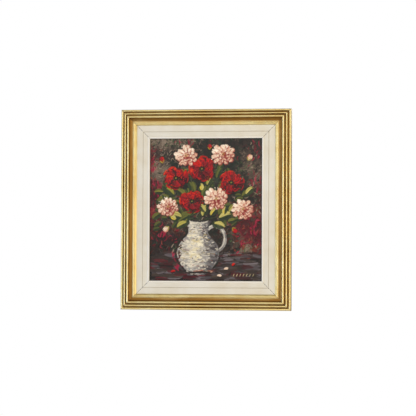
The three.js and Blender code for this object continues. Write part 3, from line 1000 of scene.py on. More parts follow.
for _ in range(CURLS):
    place = rng.uniform(-182, -20), rng.uniform(130, 238)
    stroke(place, away(place, 17, rng.uniform(0, 2 * math.pi)), rng.uniform(2.4, 4.5),
           shaded(UMBER, rng.uniform(0.5, 1.0)), load=0.9, bow=rng.normal(0, 6), dry=0.6, taper=3)
print("ground broken, paint up to", round(float(body.max()), 2), "mm")

# %% [markdown]
# ## The form of the jug
# A pale jug with one handle stands a little left of the middle. Two curves give its outline, the belly
# and the neck, and the handle is part of an oval. The handle is painted first, because the body's
# strokes overlap its ends.

# %% The jug's outline and its handle
JUG_X = -26
JUG_BASE = -212
JUG_HEIGHT = 172
JUG_COLOURS = palette("#423D3E", "#7D7773", "#AFA9A0", "#CEC5B4", "#E9DFC9")
JUG_GLOW = palette("#CDB98E", "#DFD2AC", "#EFE6CB")
JUG_BROKEN = palette("#9C6A60", "#6C7F86", "#B59A62", "#8C8A7C")
JUG_MOUTH = pigment("#1B1614")
BELLY = 74
NECK = 34
FLARE = 10
FOOT = 38
HANDLE = (JUG_X + 58, JUG_BASE + 112)
HANDLE_WIDE = 36
HANDLE_TALL = 44


def jug_half_width(rise):
    """Half the jug's width at a share of its height: a foot, a full belly and a narrow neck."""
    belly = BELLY * math.sin(math.pi * min(0.13 + rise * 1.02, 1)) ** 0.75
    neck = NECK + FLARE * max(rise - 0.84, 0) / 0.16
    return max(belly, neck if rise > 0.5 else FOOT)


def on_jug(rise, across, shift=0):
    """The point at a share of the jug's height and half width. Shift moves it to the right."""
    return JUG_X + across * jug_half_width(rise) + shift, JUG_BASE + rise * JUG_HEIGHT


def on_handle(share, shift=0):
    """A point of the handle, from the neck round to the belly. Shift lifts it up and to the left."""
    x, z = away(HANDLE, HANDLE_WIDE, math.pi * (0.78 - 1.3 * share), HANDLE_TALL / HANDLE_WIDE)
    return x - shift, z + shift


for share in np.linspace(0.0, 1.0, 18):
    stroke(on_handle(share), on_handle(share + 0.09), 13, shaded(JUG_COLOURS, 0.5 - 0.3 * share),
           load=0.6, dry=0.1)
    stroke(on_handle(share, 2), on_handle(share + 0.09, 2), 4.5, shaded(JUG_COLOURS, 0.8),
           load=0.8, dry=0.4)
print("the jug is", round(2 * jug_half_width(0.4)), "mm wide and", JUG_HEIGHT, "mm high")

# %% [markdown]
# ## The body of the jug
# The body is brushed across in curved strokes that follow its roundness, warm white on the lit side
# and grey in shadow, with a little red, green and blue thrown back into it. Strokes along the outline
# firm it up, and the dark cut in beside them trims it.

# %% Painting the jug's body
SAG = 9


def round_jug(rise, across):
    """A point of the jug's front, lower in the middle, where its roundness bulges towards the eye."""
    x, z = on_jug(rise, across)
    return x, z - SAG * (1 - across ** 2) * (1 - rise) + rng.normal(0, 1.5)


for rise in np.linspace(0.0, 1.0, 40):
    for left in np.arange(-1, 0.9, 0.2) + rng.uniform(0, 0.2):
        right = min(left + rng.uniform(0.2, 0.5), 1)
        left = max(left, -1)
        start, end = round_jug(rise, left), round_jug(rise, right)
        centre = (left + right) / 2
        in_shade = 0.75 * max(centre + 0.25, 0) ** 1.3 + 0.5 * max(-centre - 0.55, 0)
        lit = 0.9 - in_shade - 0.3 * (rise < 0.14)
        colour = shaded(JUG_COLOURS, lit + rng.normal(0, 0.06))
        other = shaded(JUG_COLOURS, lit - 0.35)
        if rng.random() < 0.22:
            other = shaded(JUG_BROKEN, rng.random())
        stroke(start, end, rng.uniform(5, 10), colour, load=rng.uniform(0.5, 1.1),
               bow=rng.normal(-1.5, 1), second=other, dry=0.45)

for hand, amount in ((-1, 0.6), (1, 0.25)):
    for rise in np.sort(rng.uniform(0.0, 0.94, 24)):
        above = rise + 0.06
        stroke(on_jug(rise, hand, -3 * hand), on_jug(above, hand, -3 * hand), 5,
               shaded(JUG_COLOURS, amount), load=0.6, second=shaded(JUG_COLOURS, amount - 0.3), dry=0.5)
        if hand < 0 or rise < 0.3 or rise > 0.9:
            stroke(on_jug(rise, hand, 4 * hand), on_jug(above, hand, 4 * hand), 7,
                   shaded(UMBER, 0.1), load=0.3, second=shaded(DARK_GREEN, 0.2), dry=0.2)
print("jug's body painted, paint up to", round(float(body.max()), 2), "mm")

# %% [markdown]
# ## The mouth and the lights of the jug
# The mouth is dark with a pale lip swept round it in two strokes. Thick, warm strokes on the lit side
# give the jug its weight, and small broken touches over the whole body let the layers under them
# show through. A few level strokes seat the foot on the table.

# %% The jug's mouth and lights
RIM = JUG_BASE + JUG_HEIGHT
MOUTH_HALF = 36
MOUTH_STROKES = 9
GLOW_STROKES = 34
JUG_TOUCHES = 300
WARM_STROKES = 16
SHADOW_STROKES = 14

for i in range(MOUTH_STROKES):
    x = JUG_X + MOUTH_HALF * (2 * i / MOUTH_STROKES - 1)
    stroke((x, RIM + 1), (x + 9, RIM + 1 + rng.normal(0, 1)), 9, JUG_MOUTH, load=0.3, dry=0.2)
stroke((JUG_X - 40, RIM + 6), (JUG_X - 6, RIM - 5), 5, JUG_COLOURS[4], load=0.9, bow=-3)
stroke((JUG_X - 6, RIM - 5), (JUG_X + 40, RIM + 3), 5, JUG_COLOURS[3], load=0.8, bow=-4)
for _ in range(GLOW_STROKES):
    x, z = JUG_X + rng.uniform(-42, 0), JUG_BASE + rng.uniform(34, 124)
    stroke((x, z), (x + rng.uniform(10, 26), z + rng.normal(0, 4)), rng.uniform(6, 11),
           shaded(JUG_GLOW, rng.random()), load=1.0, bow=-1.5, dry=0.6, second=JUG_COLOURS[4])
for _ in range(JUG_TOUCHES):
    rise, across = rng.uniform(0.03, 0.97), rng.uniform(-0.93, 0.86)
    x, z = on_jug(rise, across)
    colours = JUG_BROKEN if rng.random() < 0.2 else JUG_COLOURS
    stroke((x, z), (x + rng.uniform(4, 12), z + rng.normal(0, 3)), rng.uniform(2.4, 4.6),
           shaded(colours, 0.85 - 0.55 * max(across, 0) + rng.normal(0, 0.32)), load=1.2, dry=0.6,
           taper=3)
for _ in range(WARM_STROKES):
    x = JUG_X + rng.uniform(-24, 52)
    stroke((x, JUG_BASE + rng.normal(0, 3)), (x + 12, JUG_BASE + rng.normal(0, 3)), 4,
           shaded(RUSSET, 1.0), load=0.9, second=shaded(PINKS, 0.4), dry=0.6, cover=0.8)
for _ in range(SHADOW_STROKES):
    x = JUG_X + rng.uniform(-50, 60)
    stroke((x, JUG_BASE - 3 + rng.normal(0, 2)), (x + 26, JUG_BASE - 4 + rng.normal(0, 2)), 6,
           shaded(UMBER, 0.1), load=0.3, dry=0.4)
print("jug painted, paint up to", round(float(body.max()), 2), "mm")

# %% [markdown]
# ## Stems and leaves
# Leaves come before the flowers that overlap them. Each is two curved strokes, the lit half a
# sharper ochre green than the other, with a dark vein drawn between them.

# %% Stems and leaves
LEAF_LIGHT = palette("#3C4524", "#6B6A33", "#A39A4B", "#D0C27C")
LEAF_DARK = palette("#172016", "#2A3720", "#465031")
MOUTH = (JUG_X, RIM + 2)
LEAF_SUN = pigment("#D9BF5E")
STEM = 3.2
LOOSE_LEAVES = 110
LEAF_SPREAD = 0.82
POPPY_PLACES = ((-104, 108), (-14, 140), (88, 92), (-48, 28))
DAHLIA_PLACES = ((-70, 186), (58, 190), (36, 38), (-132, 10), (128, 2))
LIT_LEAVES = (
    (-84, -26, 44, 2.9), (-66, -44, 38, 3.6), (48, -30, 46, 0.4), (30, -48, 40, -0.3),
    (-8, -22, 40, 1.3), (82, -10, 36, 0.9), (-112, 52, 34, 2.4), (6, 84, 34, 1.1),
    (140, 52, 36, 0.8), (-2, -8, 34, 2.2))
SUNLIT_LEAVES = (
    (-40, -14, 30, 1.9), (18, -20, 32, 0.9), (64, -16, 28, 1.4), (-104, -34, 30, 2.6),
    (-14, 66, 26, 1.7))


def leaf(place, length, angle, light):
    tip = away(place, length, angle)
    lit = 1 if math.cos(angle) > 0 else -1
    for hand, colours, amount in ((-lit, LEAF_DARK, 0.5), (lit, LEAF_LIGHT, light)):
        shift = hand * length * 0.13
        stroke(away(place, shift / 2, angle + QUARTER), tip, length * 0.36, shaded(colours, amount),
               load=0.7, bow=shift, dry=0.25, second=shaded(colours, amount - 0.35), taper=2)
    stroke(place, tip, 2.2, shaded(LEAF_DARK, 0.2), load=0.3, dry=0.2, taper=2)


for place in POPPY_PLACES + DAHLIA_PLACES:
    stroke(MOUTH, place, STEM, shaded(LEAF_DARK, 0.8), load=0.5, bow=rng.normal(0, 9), dry=0.1,
           cover=0.8)
for _ in range(LOOSE_LEAVES):
    angle = rng.uniform(-0.35, math.pi + 0.35)
    far = rng.uniform(30, 185)
    x, z = away((MOUTH[0] + 12, MOUTH[1] + 16), LEAF_SPREAD * far, angle, 1 / LEAF_SPREAD)
    if z < 225 and abs(x) < 178:
        leaf((x, z), rng.uniform(22, 40), angle + rng.normal(0, 0.7), light=rng.uniform(0.05, 0.42))
for x, z, length, angle in LIT_LEAVES:
    leaf((x, z), length, angle, light=rng.uniform(0.7, 0.95))
for x, z, length, angle in SUNLIT_LEAVES:
    leaf((x, z), length, angle, light=1.0)
    stroke((x, z), away((x, z), length * 0.7, angle), 6, LEAF_SUN, load=0.9, bow=3, dry=0.5, taper=2)
print("leaves painted:", LOOSE_LEAVES + len(LIT_LEAVES) + len(SUNLIT_LEAVES), "at most")

# %% [markdown]
# ## Petals
# A broad petal is a fan of strokes from the flower's heart to its rim, which is then turned over with
# two strokes across. Short, thick dabs on top break up the form. The light comes from the upper left,
# so petals on that side take the lighter paint.

# %% Petals and dabs
SUN = 2.2
TILT = 0.92  # the height of a flower that is turned a little upwards, as a share of its width


def petal_fan(place, inner, outer, middle_angle, spread, colours, load, wide):
    """Fills one broad petal with strokes that run outwards from the heart, then turns its rim over."""
    for step in np.linspace(-0.5, 0.5, 8):
        angle = middle_angle + step * spread
        rim = outer * (1 - 0.6 * step ** 2) * rng.uniform(0.88, 1.06)
        lit = 0.5 + 0.2 * math.cos(angle - SUN) + rng.normal(0, 0.14) - 0.3 * (step > 0.3)
        stroke(away(place, inner, angle, TILT), away(place, rim, angle, TILT),
               wide * rng.uniform(0.7, 1.1), shaded(colours, lit), load=load, bow=rng.normal(0, 3),
               dry=0.2, second=shaded(colours, lit - 0.4))
    for step in (-0.22, 0.12):
        angle = middle_angle + step * spread
        rim = outer * rng.uniform(0.84, 0.95)
        lit = 0.78 + 0.2 * math.cos(angle - SUN)
        stroke(away(place, rim, angle - 0.32, TILT), away(place, rim, angle + 0.32, TILT),
               wide * rng.uniform(0.3, 0.5), shaded(colours, lit), load=load * 1.3,
               bow=-outer * 0.05, second=shaded(colours, lit - 0.5), dry=0.6, taper=2)


def touches(place, size, colours, lit, count, swing):
    """Lays short thick dabs over a flower. Swing turns them from running outwards to running round."""
    for _ in range(count):
        angle, far = rng.uniform(0, 2 * math.pi), size * rng.uniform(0.28, 0.86)
        start = away(place, far, angle, TILT)
        run, reach = angle + swing + rng.normal(0, 0.3), rng.uniform(3, 8)
        amount = lit + 0.2 * math.cos(angle - SUN) + rng.normal(0, 0.32)
        stroke(start, away(start, reach, run), rng.uniform(2.2, 4), shaded(colours, amount), load=1.2,
               dry=0.5, taper=3)


print("light falls from", round(math.degrees(SUN)), "degrees")

# %% [markdown]
# ## Poppies
# The red flowers have three broad, cupped petals over three more. Dark strokes part them, and the
# heart is a dark button with a pale green knob and a ring of ochre specks.

# %% Poppies
OCHRE = palette("#6E4A1E", "#A8792E", "#D3A94E")
HEART = pigment("#150F10")
POPPY_SIZES = (47, 51, 47, 46)
POPPY_TURNS = (0.3, 1.2, 2.1, 0.8)


def poppy(place, size, turn):
    for ring, petals, reach in ((0, 3, 1.0), (1, 3, 0.76)):
        for i in range(petals):
            angle = turn + ring * 0.9 + i * 2 * math.pi / petals
            petal_fan(place, size * 0.16, size * reach, angle, 1.9, REDS, 0.8, size * 0.3)
            side = angle + 1.05
            stroke(away(place, size * 0.25, side), away(place, size * 0.85 * reach, side + 0.2),
                   size * 0.09, REDS[0], load=0.35, bow=4, dry=0.4, taper=2)
    touches(place, size, REDS, 0.5, 90, QUARTER)
    for i in range(7):
        angle = i * 0.9
        end = away(place, size * 0.26, angle, 0.22 / 0.26)
        stroke(away(place, size * 0.05, angle), end, size * 0.13, HEART, load=0.5, dry=0.3)
    for i in range(9):
        x, z = away(place, size * 0.22, i * 0.7 + rng.normal(0, 0.15), 0.2 / 0.22)
        stroke((x, z), (x + 1.8, z + 1.4), 2.4, shaded(OCHRE, 0.25), load=0.6, dry=0.1)
    x, z = place
    stroke((x - size * 0.06, z), (x + size * 0.06, z + 1), size * 0.11, shaded(LEAF_LIGHT, 0.45),
           load=0.8, dry=0.1)


for place, size, turn in zip(POPPY_PLACES, POPPY_SIZES, POPPY_TURNS):
    poppy(place, size, turn)
print("poppies:", len(POPPY_PLACES))

# %% [markdown]
# ## Dahlias
# The pale flowers are ring upon ring of short petals, the outer rings first, each petal laid over its
# own rose shadow. Their middles are touched with ochre.

# %% Dahlias
DAHLIA_TILT = 0.9
DAHLIA_SIZES = (41, 43, 44, 38, 39)
DAHLIA_TURNS = (0.1, 0.5, 0.2, 0.7, 0.4)
DAHLIA_RINGS = ((11, 1.0, 0.5), (10, 0.8, 0.34), (8, 0.56, 0.16), (5, 0.32, 0.04))


def dahlia(place, size, turn):
    for ring, (petals, reach, inner) in enumerate(DAHLIA_RINGS):
        for i in range(petals):
            angle = turn + ring * 0.31 + i * 2 * math.pi / petals + rng.normal(0, 0.07)
            lit = 0.8 + 0.2 * math.cos(angle - SUN) - 0.07 * ring + rng.normal(0, 0.08)
            start = away(place, size * inner, angle, DAHLIA_TILT)
            end = away(place, size * reach * rng.uniform(0.88, 1.07), angle, DAHLIA_TILT)
            stroke(start, (end[0] + 1.4, end[1] - 2.0), size * 0.4, shaded(PINKS, lit - 0.7), load=0.3,
                   dry=0.1, taper=3)
            stroke(start, end, size * (0.32 - 0.04 * ring), shaded(PINKS, lit), load=1.0,
                   bow=rng.normal(0, 1.5), second=shaded(PINKS, lit - 0.4), dry=0.3, taper=3)
    touches(place, size, PINKS, 0.6, 60, 0.5)
    for i in range(5):
        x, z = away(place, size * 0.1, turn + i * 1.26)
        stroke((x, z), (x + 3, z + 2), size * 0.08, shaded(OCHRE, 0.7), load=0.7, dry=0.1)


for place, size, turn in zip(DAHLIA_PLACES, DAHLIA_SIZES, DAHLIA_TURNS):
    dahlia(place, size, turn)
print("dahlias:", len(DAHLIA_PLACES))

# %% [markdown]
# ## Buds and fallen petals
# Buds fill the gaps round the bouquet, three strokes held by two green ones. A few loose petals lie
# on the table, each over a dark stroke that is its shadow.

# %% Buds and fallen petals
BUDS = ((-150, 160, 24, 1.9, REDS), (146, 168, 24, 1.1, PINKS), (12, 206, 20, 1.5, REDS),
        (-128, -58, 26, 3.9, PINKS), (92, -62, 24, -0.7, REDS))
FALLEN = ((64, -204, 0.2, PINKS), (92, -192, 0.9, REDS), (40, -226, -0.2, PINKS),
          (-120, -214, 0.4, REDS))

for x, z, size, angle, colours in BUDS:
    for step in (-0.5, 0.5, 0):
        tip = away((x, z), size, angle + step * 0.3)
        stroke((x, z), tip, size * 0.42, shaded(colours, 0.5 - step * 0.4), load=0.8, bow=step * 5,
               taper=2)
    for step in (-0.6, 0.6):
        tip = away((x, z), size * 0.6, angle + step)
        stroke((x, z), tip, size * 0.2, shaded(LEAF_LIGHT, 0.5), load=0.6, taper=2)
for x, z, angle, colours in FALLEN:
    tip = away((x, z), 17, angle, 9 / 17)
    stroke((x, z - 2), (tip[0], tip[1] - 2), 10, shaded(UMBER, 0.0), load=0.3)
    stroke((x, z), tip, 9, shaded(colours, 0.6), load=0.9, bow=1.5, second=shaded(colours, 0.9),
           taper=2)
print("flowers painted, paint up to", round(float(body.max()), 2), "mm")

# %% [markdown]
# ## A row of pale touches
# Small cream touches stand in a row at the lower right of the table. They are plain slanted strokes,
# all alike, laid thinly with a fine brush once the dark below them was dry.

# %% A row of pale touches
PALE_TOUCH = pigment("#E2D2A4")
TOUCHES = 7
TOUCH_SPACING = 11.2
TOUCH_START = (96, -229)

for touch in range(TOUCHES):
    x, z = TOUCH_START[0] + touch * TOUCH_SPACING, TOUCH_START[1]
    stroke((x, z), (x + 4, z + 9), 2.6, PALE_TOUCH, load=0.6, dry=0.2, cover=0.8, taper=6)
print("the row ends at", round(x + 4), "mm of", round(paint_half_x))

# %% [markdown]
# ## Turning the strokes into a surface
# A grid is created over the canvas and every point is lifted by the paint under it. The paint thins
# out towards the edges, which the liner covers. The colours go on as an attribute of the points,
# because they belong to the surface and move with it. The rim is drawn back to the cloth and closed.

# %% The paint layer
PAINT_GAP = 0.05
PAINT_LEAST = 0.12
PAINT_MOST = 2.2
PAINT_FULL = 8  # how far from the edge the paint has its full thickness
PAINT_SHARP = math.radians(80)
SIGHT_COVER = 3
RIM_SHADOW_WIDTH = 5


def paint_layer():
    from_edge = np.minimum(
        paint_half_x - np.abs(grid_x)[None, :], paint_half_z - np.abs(grid_z)[:, None])
    fade = np.clip((from_edge - 2) / (PAINT_FULL - 2), 0.05, 1)
    lift = PAINT_LEAST + np.clip(body, 0, PAINT_MOST) * fade
    # A painted shadow of the liner darkens the very edge of what shows.
    rim_dark = np.clip((from_edge - SIGHT_COVER) / RIM_SHADOW_WIDTH, 0, 1)[..., None]
    tint[:] = tint * (0.15 + 0.85 * rim_dark)
    mesh = bmesh.new()
    bmesh.ops.create_grid(mesh, x_segments=columns, y_segments=rows, size=1)
    front = canvas_low.y
    colour = mesh.verts.layers.float_color.new("paint")
    for vert in mesh.verts:
        column = round((vert.co.x + 1) / 2 * columns)
        row = round((vert.co.y + 1) / 2 * rows)
        vert.co = (canvas_middle.x + grid_x[column] * MM, front - lift[row, column] * MM,
                   canvas_middle.z + grid_z[row] * MM)
        vert[colour] = (*tint[row, column], 1)
    rim = [edge for edge in mesh.edges if edge.is_boundary]
    skirt = bmesh.ops.extrude_edge_only(mesh, edges=rim)["geom"]
    for vert in verts_of(skirt):
        vert.co.y = front - PAINT_GAP * MM
    bmesh.ops.edgeloop_fill(mesh, edges=[edge for edge in mesh.edges if edge.is_boundary])
    return finish_mesh(mesh, "oil_paint", sharp=PAINT_SHARP)


paint = paint_layer()
print("paint layer:", len(paint.data.polygons), "faces")

# %% [markdown]
# ## Oil paint
# Oil paint dries to a soft gloss and is glossier where it is thick. The colour comes from the
# strokes. A little fine bristle drag and the tooth of the canvas go on top as relief.

# %% Oil paint's material
def oil_paint():
    material, tree, shader = new_material("oil_paint_on_canvas")
    place = add(tree, "TexCoord").outputs["Object"]
    colour = add(tree, "Attribute", attribute_name="paint")
    grain = add(tree, "TexNoise", {"Vector": place, "Scale": every(1.6), "Detail": 4.0,
                                   "Roughness": 0.7})
    shade = add(tree, "MapRange", {"Value": grain, "From Min": 0.25, "From Max": 0.75,
                                   "To Min": 0.85, "To Max": 1.15})
    lively = add(tree, "HueSaturation", {"Color": colour, "Value": shade, "Saturation": 1.12})
    gloss = add(tree, "TexNoise", {"Vector": place, "Scale": every(30), "Detail": 3.0})
    rough = add(tree, "MapRange", {"Value": gloss, "From Min": 0.3, "From Max": 0.7,
                                   "To Min": 0.28, "To Max": 0.45})
    bump = add(tree, "Bump", {"Height": grain, "Strength": 0.4, "Distance": 0.25 * MM})
    feed(tree, shader, {"Base Color": lively, "Roughness": rough, "Normal": bump,
                        "Specular IOR Level": 0.32})
    return material


dress(paint, oil_paint())
print("made", paint.data.materials[0].name)

# %% [markdown]
# ## The stretcher
# Four pine bars hold the cloth taut. Each has a narrow lip under the cloth's edge and slopes away
# behind it, so that the bar leaves no line in the paint, and its inner arris is rounded. They are
# outlines swept and mitred like the mouldings, with a hair's gap where they meet.

# %% The four stretcher bars
BAR_LIP = 7
BAR_FALL = 3
BAR_ROUND = 2
BAR_CHAMFER = 0.8
BAR_CUTS = 8

for side in SIDES:
    reach, length = rail_lie(side, bar_low, bar_high)
    width, depth = bar_width / MM, (bar_high.y - bar_low.y) / MM
    inner = width - BAR_ROUND
    pen = Pen(ARRIS, 0)
    pen.line((0, ARRIS), (0, depth - ARRIS), (ARRIS, depth), (BAR_LIP, depth),
             (inner, depth - BAR_FALL))
    pen.arc(inner, depth - BAR_FALL - BAR_ROUND, -QUARTER)
    pen.line((width, BAR_CHAMFER), (width - BAR_CHAMFER, 0))
    placing = side_matrix(side, reach, back_y - bar_high.y)
    bar = mitred_rail(f"stretcher_{side}", pen.close(), length, BAR_CUTS, placing)
    dress(bar, pine, f"stretcher_bar_{side}")
    print(bar.name, "is", round(length / MM, 1), "mm long")

# %% [markdown]
# ## Plated sheet and wire
# The hanger and its screws are steel with a thin brass plate, the clips and theirs are zinc plated.
# Both plates are bright metals gone a little dull: cloudy tarnish, and grime that settles unevenly.
# One recipe serves for both, because only the metal and how far it has dulled differ.

# %% Brass and zinc plate
def plated_steel(name, bright, dull, roughness, cloud_size):
    material, tree, shader = new_material(name)
    place = add(tree, "TexCoord").outputs["Object"]
    cloud = add(tree, "TexNoise", {"Vector": place, "Scale": every(cloud_size), "Detail": 6.0,
                                   "Roughness": 0.7})
    tone = add(tree, "ValToRGB", {"Fac": cloud}, stops=[(0.35, bright), (0.7, dull)])
    scuff = add(tree, "TexNoise", {"Vector": place, "Scale": every(0.7), "Detail": 3.0})
    rough = add(tree, "Math", {0: cloud, 1: 0.3, 2: roughness}, operation="MULTIPLY_ADD")
    bump = add(tree, "Bump", {"Height": scuff, "Strength": 0.3, "Distance": 0.04 * MM})
    feed(tree, shader, {"Base Color": tone, "Metallic": 1.0, "Roughness": rough, "Normal": bump})
    return material


brass = plated_steel("brass_plated_steel", "#D9B765", "#8F6B35", 0.2, 8)
zinc = plated_steel("zinc_plated_steel", "#C6C8C6", "#8D908F", 0.28, 5)
print("made", brass.name, "and", zinc.name)

# %% [markdown]
# ## Screws
# Each screw is a low round head with a driver's slot and a pointed shank, a profile spun round its
# axis. The slot is cut by two planes across the head, and the strip between them is pushed down.
# A head that sits on sheet is all that shows, but the shank is there, as it is on the real one.

# %% Six screws
HEAD = 3
HEAD_HEIGHT = 1.4
HEAD_RIM = 0.15
SHANK = 1.3
SLOT_HALF = 0.35
SLOT_DEPTH = 0.7
DOME_STEPS = 6
SCREW_STEPS = 28


def slotted_screw(name, node, turn):
    """Makes a screw along Y, its head at the outer end of the node's box and its slot turned."""
    low, high = box_of(node)
    point = Vector(((low.x + high.x) / 2, low.y, (low.z + high.z) / 2))
    under = (high.y - low.y) / MM - HEAD_HEIGHT
    pen = Pen(0, 0)
    pen.line((SHANK, 2 * SHANK), (SHANK, under), (HEAD - 0.1, under), (HEAD, under + HEAD_RIM))
    for step in range(1, DOME_STEPS + 1):
        angle = QUARTER * step / DOME_STEPS
        dome = (HEAD_HEIGHT - HEAD_RIM) * math.sin(angle)
        pen.line((HEAD * math.cos(angle), under + HEAD_RIM + dome))
    mesh = pen.mesh
    bmesh.ops.spin(mesh, geom=mesh.verts[:] + mesh.edges[:], cent=(0, 0, 0), axis=(0, 1, 0),
                   angle=4 * QUARTER, steps=SCREW_STEPS, use_merge=True)
    bmesh.ops.translate(mesh, vec=point, verts=mesh.verts)
    bmesh.ops.remove_doubles(mesh, verts=mesh.verts, dist=0.01 * MM)
    bmesh.ops.recalc_face_normals(mesh, faces=mesh.faces)
    across = Vector((math.cos(turn), 0, math.sin(turn)))
    for hand in (-1, 1):
        edge_of_slot = point + across * hand * SLOT_HALF * MM
        bmesh.ops.bisect_plane(mesh, geom=all_of(mesh), plane_co=edge_of_slot, plane_no=across)
    slot = [face for face in mesh.faces if face.normal.y > 0.2
            and abs((face.calc_center_median() - point).dot(across)) < SLOT_HALF * MM]
    sunk = bmesh.ops.extrude_face_region(mesh, geom=slot)["geom"]
    bmesh.ops.delete(mesh, geom=slot, context="FACES")
    for vert in verts_of(sunk):
        vert.co.y = min(vert.co.y, high.y - SLOT_DEPTH * MM)
    return finish_mesh(mesh, name)


screws = [(f"clip_screw_{side}", zinc, "clip_steel") for side in SIDES]
screws += [(f"hanger_screw_{hand}", brass, "hanger_brass") for hand in ("left", "right")]
for number, (node, plate, slot) in enumerate(screws):
    screw = slotted_screw(f"{node}_slotted", node, 0.4 + 1.1 * number)
    dress(screw, plate, node)
print("screws:", len(screws))

# %% [markdown]
# ## Pressed sheet
# The hardware is cut and bent from sheet. A side outline is filled and drawn out to the strip's
# width, and bevels then round whichever edges a test picks, as a press tool and a tumbler would.

# %% Pressing sheet
CUT_ANGLE = math.radians(60)
CUT_BEVEL = 0.12


def runs_along(edge, axis):
    along = edge.verts[1].co - edge.verts[0].co
    return abs(along[axis]) > 0.95 * along.length


def cut_edge(edge):
    return edge.calc_face_angle(0) > CUT_ANGLE


def press_sheet(pen, width):
    """Draws a side outline out to a strip of sheet, centred on its width."""
    mesh = pen.close()
    bmesh.ops.edgeloop_fill(mesh, edges=mesh.edges[:])
    bmesh.ops.translate(mesh, vec=(0, 0, -width / 2 * MM), verts=mesh.verts)
    thicken(mesh, width)
    return mesh


print("cut edges are broken by", CUT_BEVEL, "mm")

# %% [markdown]
# ## The offset clips
# A clip is a strip with rounded ends, bent up from the liner's back and over the hem, and the screw
# at its foot makes it press the canvas into the rabbet. Its ends are rounded first, then the bends,
# then every cut edge.

# %% Four clips
CLIP_WIDTH = 14
CLIP_SHEET = 1
CLIP_FOOT = 20
CLIP_TONGUE = 16
CLIP_CORNER = 4.5
CLIP_BEND = 0.45


def strip_corner(edge):
    """Picks the short upright edges at both ends of the strip."""
    x = edge.verts[0].co.x / MM
    return runs_along(edge, 1) and min(abs(x + CLIP_FOOT), abs(x - CLIP_TONGUE)) < 0.01


def strip_bend(edge):
    """Picks the edges across the strip where it is bent."""
    return runs_along(edge, 2) and abs(edge.verts[0].co.x) < 1.1 * CLIP_SHEET * MM


for side in SIDES:
    low, high = box_of(f"clip_{side}")
    wall = rail_lie(side, liner_low, liner_high)[0] - (liner_width - RABBET_WALL * MM)
    rise = (high.y - low.y) / MM - CLIP_SHEET
    over = -rise - CLIP_SHEET
    pen = Pen(-CLIP_FOOT, 0)
    pen.line((0, 0), (0, -rise), (CLIP_TONGUE, -rise), (CLIP_TONGUE, over), (-CLIP_SHEET, over),
             (-CLIP_SHEET, -CLIP_SHEET), (-CLIP_FOOT, -CLIP_SHEET))
    mesh = press_sheet(pen, CLIP_WIDTH)
    bevel_edges(mesh, strip_corner, CLIP_CORNER, 6)
    bevel_edges(mesh, strip_bend, CLIP_BEND, 3)
    bevel_edges(mesh, cut_edge, CUT_BEVEL, 2)
    placing = side_matrix(side, wall, back_y - low.y)
    bmesh.ops.transform(mesh, matrix=placing, verts=mesh.verts)
    clip = finish_mesh(mesh, f"clip_{side}_pressed")
    dress(clip, zinc, f"clip_{side}")
print("clips:", len(SIDES))

# %% [markdown]
# ## The toothed hanger
# A saw-toothed strip on the back of the top rail lets the picture be levelled on one nail. Its plan
# is drawn with a pen, round ends and teeth included, filled, and scored by planes at its two ramps.
# The middle is raised, the sheet gets its thickness, and fine bevels break the edges.

# %% The hanger
HANGER_BRIDGE = 34
HANGER_RAMP = 3
HANGER_SHEET = 1
HANGER_END = 4.5
TOOTH_PITCH = 4
TOOTH_FOOT = 1.8
TOOTH_TIP = 0.2
TOOTH_DEPTH = 2.2
TOOTH_COUNT = 7

hanger_low, hanger_high = box_of("hanger")
length, depth, width = (hanger_high - hanger_low) / MM
long, wide = length / 2, width / 2
pen = Pen(-long + HANGER_END, wide)
pen.line((long - HANGER_END, wide))
pen.arc(long - HANGER_END, wide - HANGER_END, -QUARTER)
pen.line((long, -wide + HANGER_END))
pen.arc(long - HANGER_END, -wide + HANGER_END, -QUARTER)
for tooth in range(TOOTH_COUNT):
    at = (TOOTH_COUNT - 1 - 2 * tooth) * TOOTH_PITCH / 2
    pen.line((at + TOOTH_FOOT, -wide), (at + TOOTH_TIP, -wide + TOOTH_DEPTH),
             (at - TOOTH_TIP, -wide + TOOTH_DEPTH), (at - TOOTH_FOOT, -wide))
pen.line((-long + HANGER_END, -wide))
pen.arc(-long + HANGER_END, -wide + HANGER_END, -QUARTER)
pen.line((-long, wide - HANGER_END))
pen.arc(-long + HANGER_END, wide - HANGER_END, -QUARTER)
mesh = pen.close()
bmesh.ops.remove_doubles(mesh, verts=mesh.verts, dist=0.001 * MM)
bmesh.ops.edgeloop_fill(mesh, edges=mesh.edges[:])
ramp_top = HANGER_BRIDGE / 2
ramp_foot = ramp_top + HANGER_RAMP
for score in (-ramp_foot, -ramp_top, ramp_top, ramp_foot):
    bmesh.ops.bisect_plane(mesh, geom=all_of(mesh), plane_co=(score * MM, 0, 0), plane_no=(1, 0, 0))
raised = [vert for vert in mesh.verts if abs(vert.co.x) < (ramp_top + 0.01) * MM]
bmesh.ops.translate(mesh, vec=(0, 0, (depth - HANGER_SHEET) * MM), verts=raised)
thicken(mesh, HANGER_SHEET)
bevel_edges(mesh, cut_edge, CUT_BEVEL, 2)
spot = Vector(((hanger_low.x + hanger_high.x) / 2, hanger_low.y, (hanger_low.z + hanger_high.z) / 2))
bmesh.ops.transform(mesh, matrix=Matrix.Translation(spot) @ TO_BACK, verts=mesh.verts)
hanger = finish_mesh(mesh, "toothed_hanger")
dress(hanger, brass, "hanger")
print("hanger faces:", len(hanger.data.polygons))

# %% [markdown]
# ## Staples in the hem
# The hem is held by wire staples, set a finger's length apart and a little askew, as a hand tool
# leaves them. One staple is a thin bar whose ends turn down into the wood. It is copied along each
# side, so all of them share one shape and differ only in where they lie.

# %% Staples
STAPLE_LONG = 10
STAPLE_WIRE = 0.3
STAPLE_BEND = 1.4
STAPLE_CUTS = 14
STAPLE_SPACING = 62
STAPLE_INSET = 17
STAPLE_END = 44

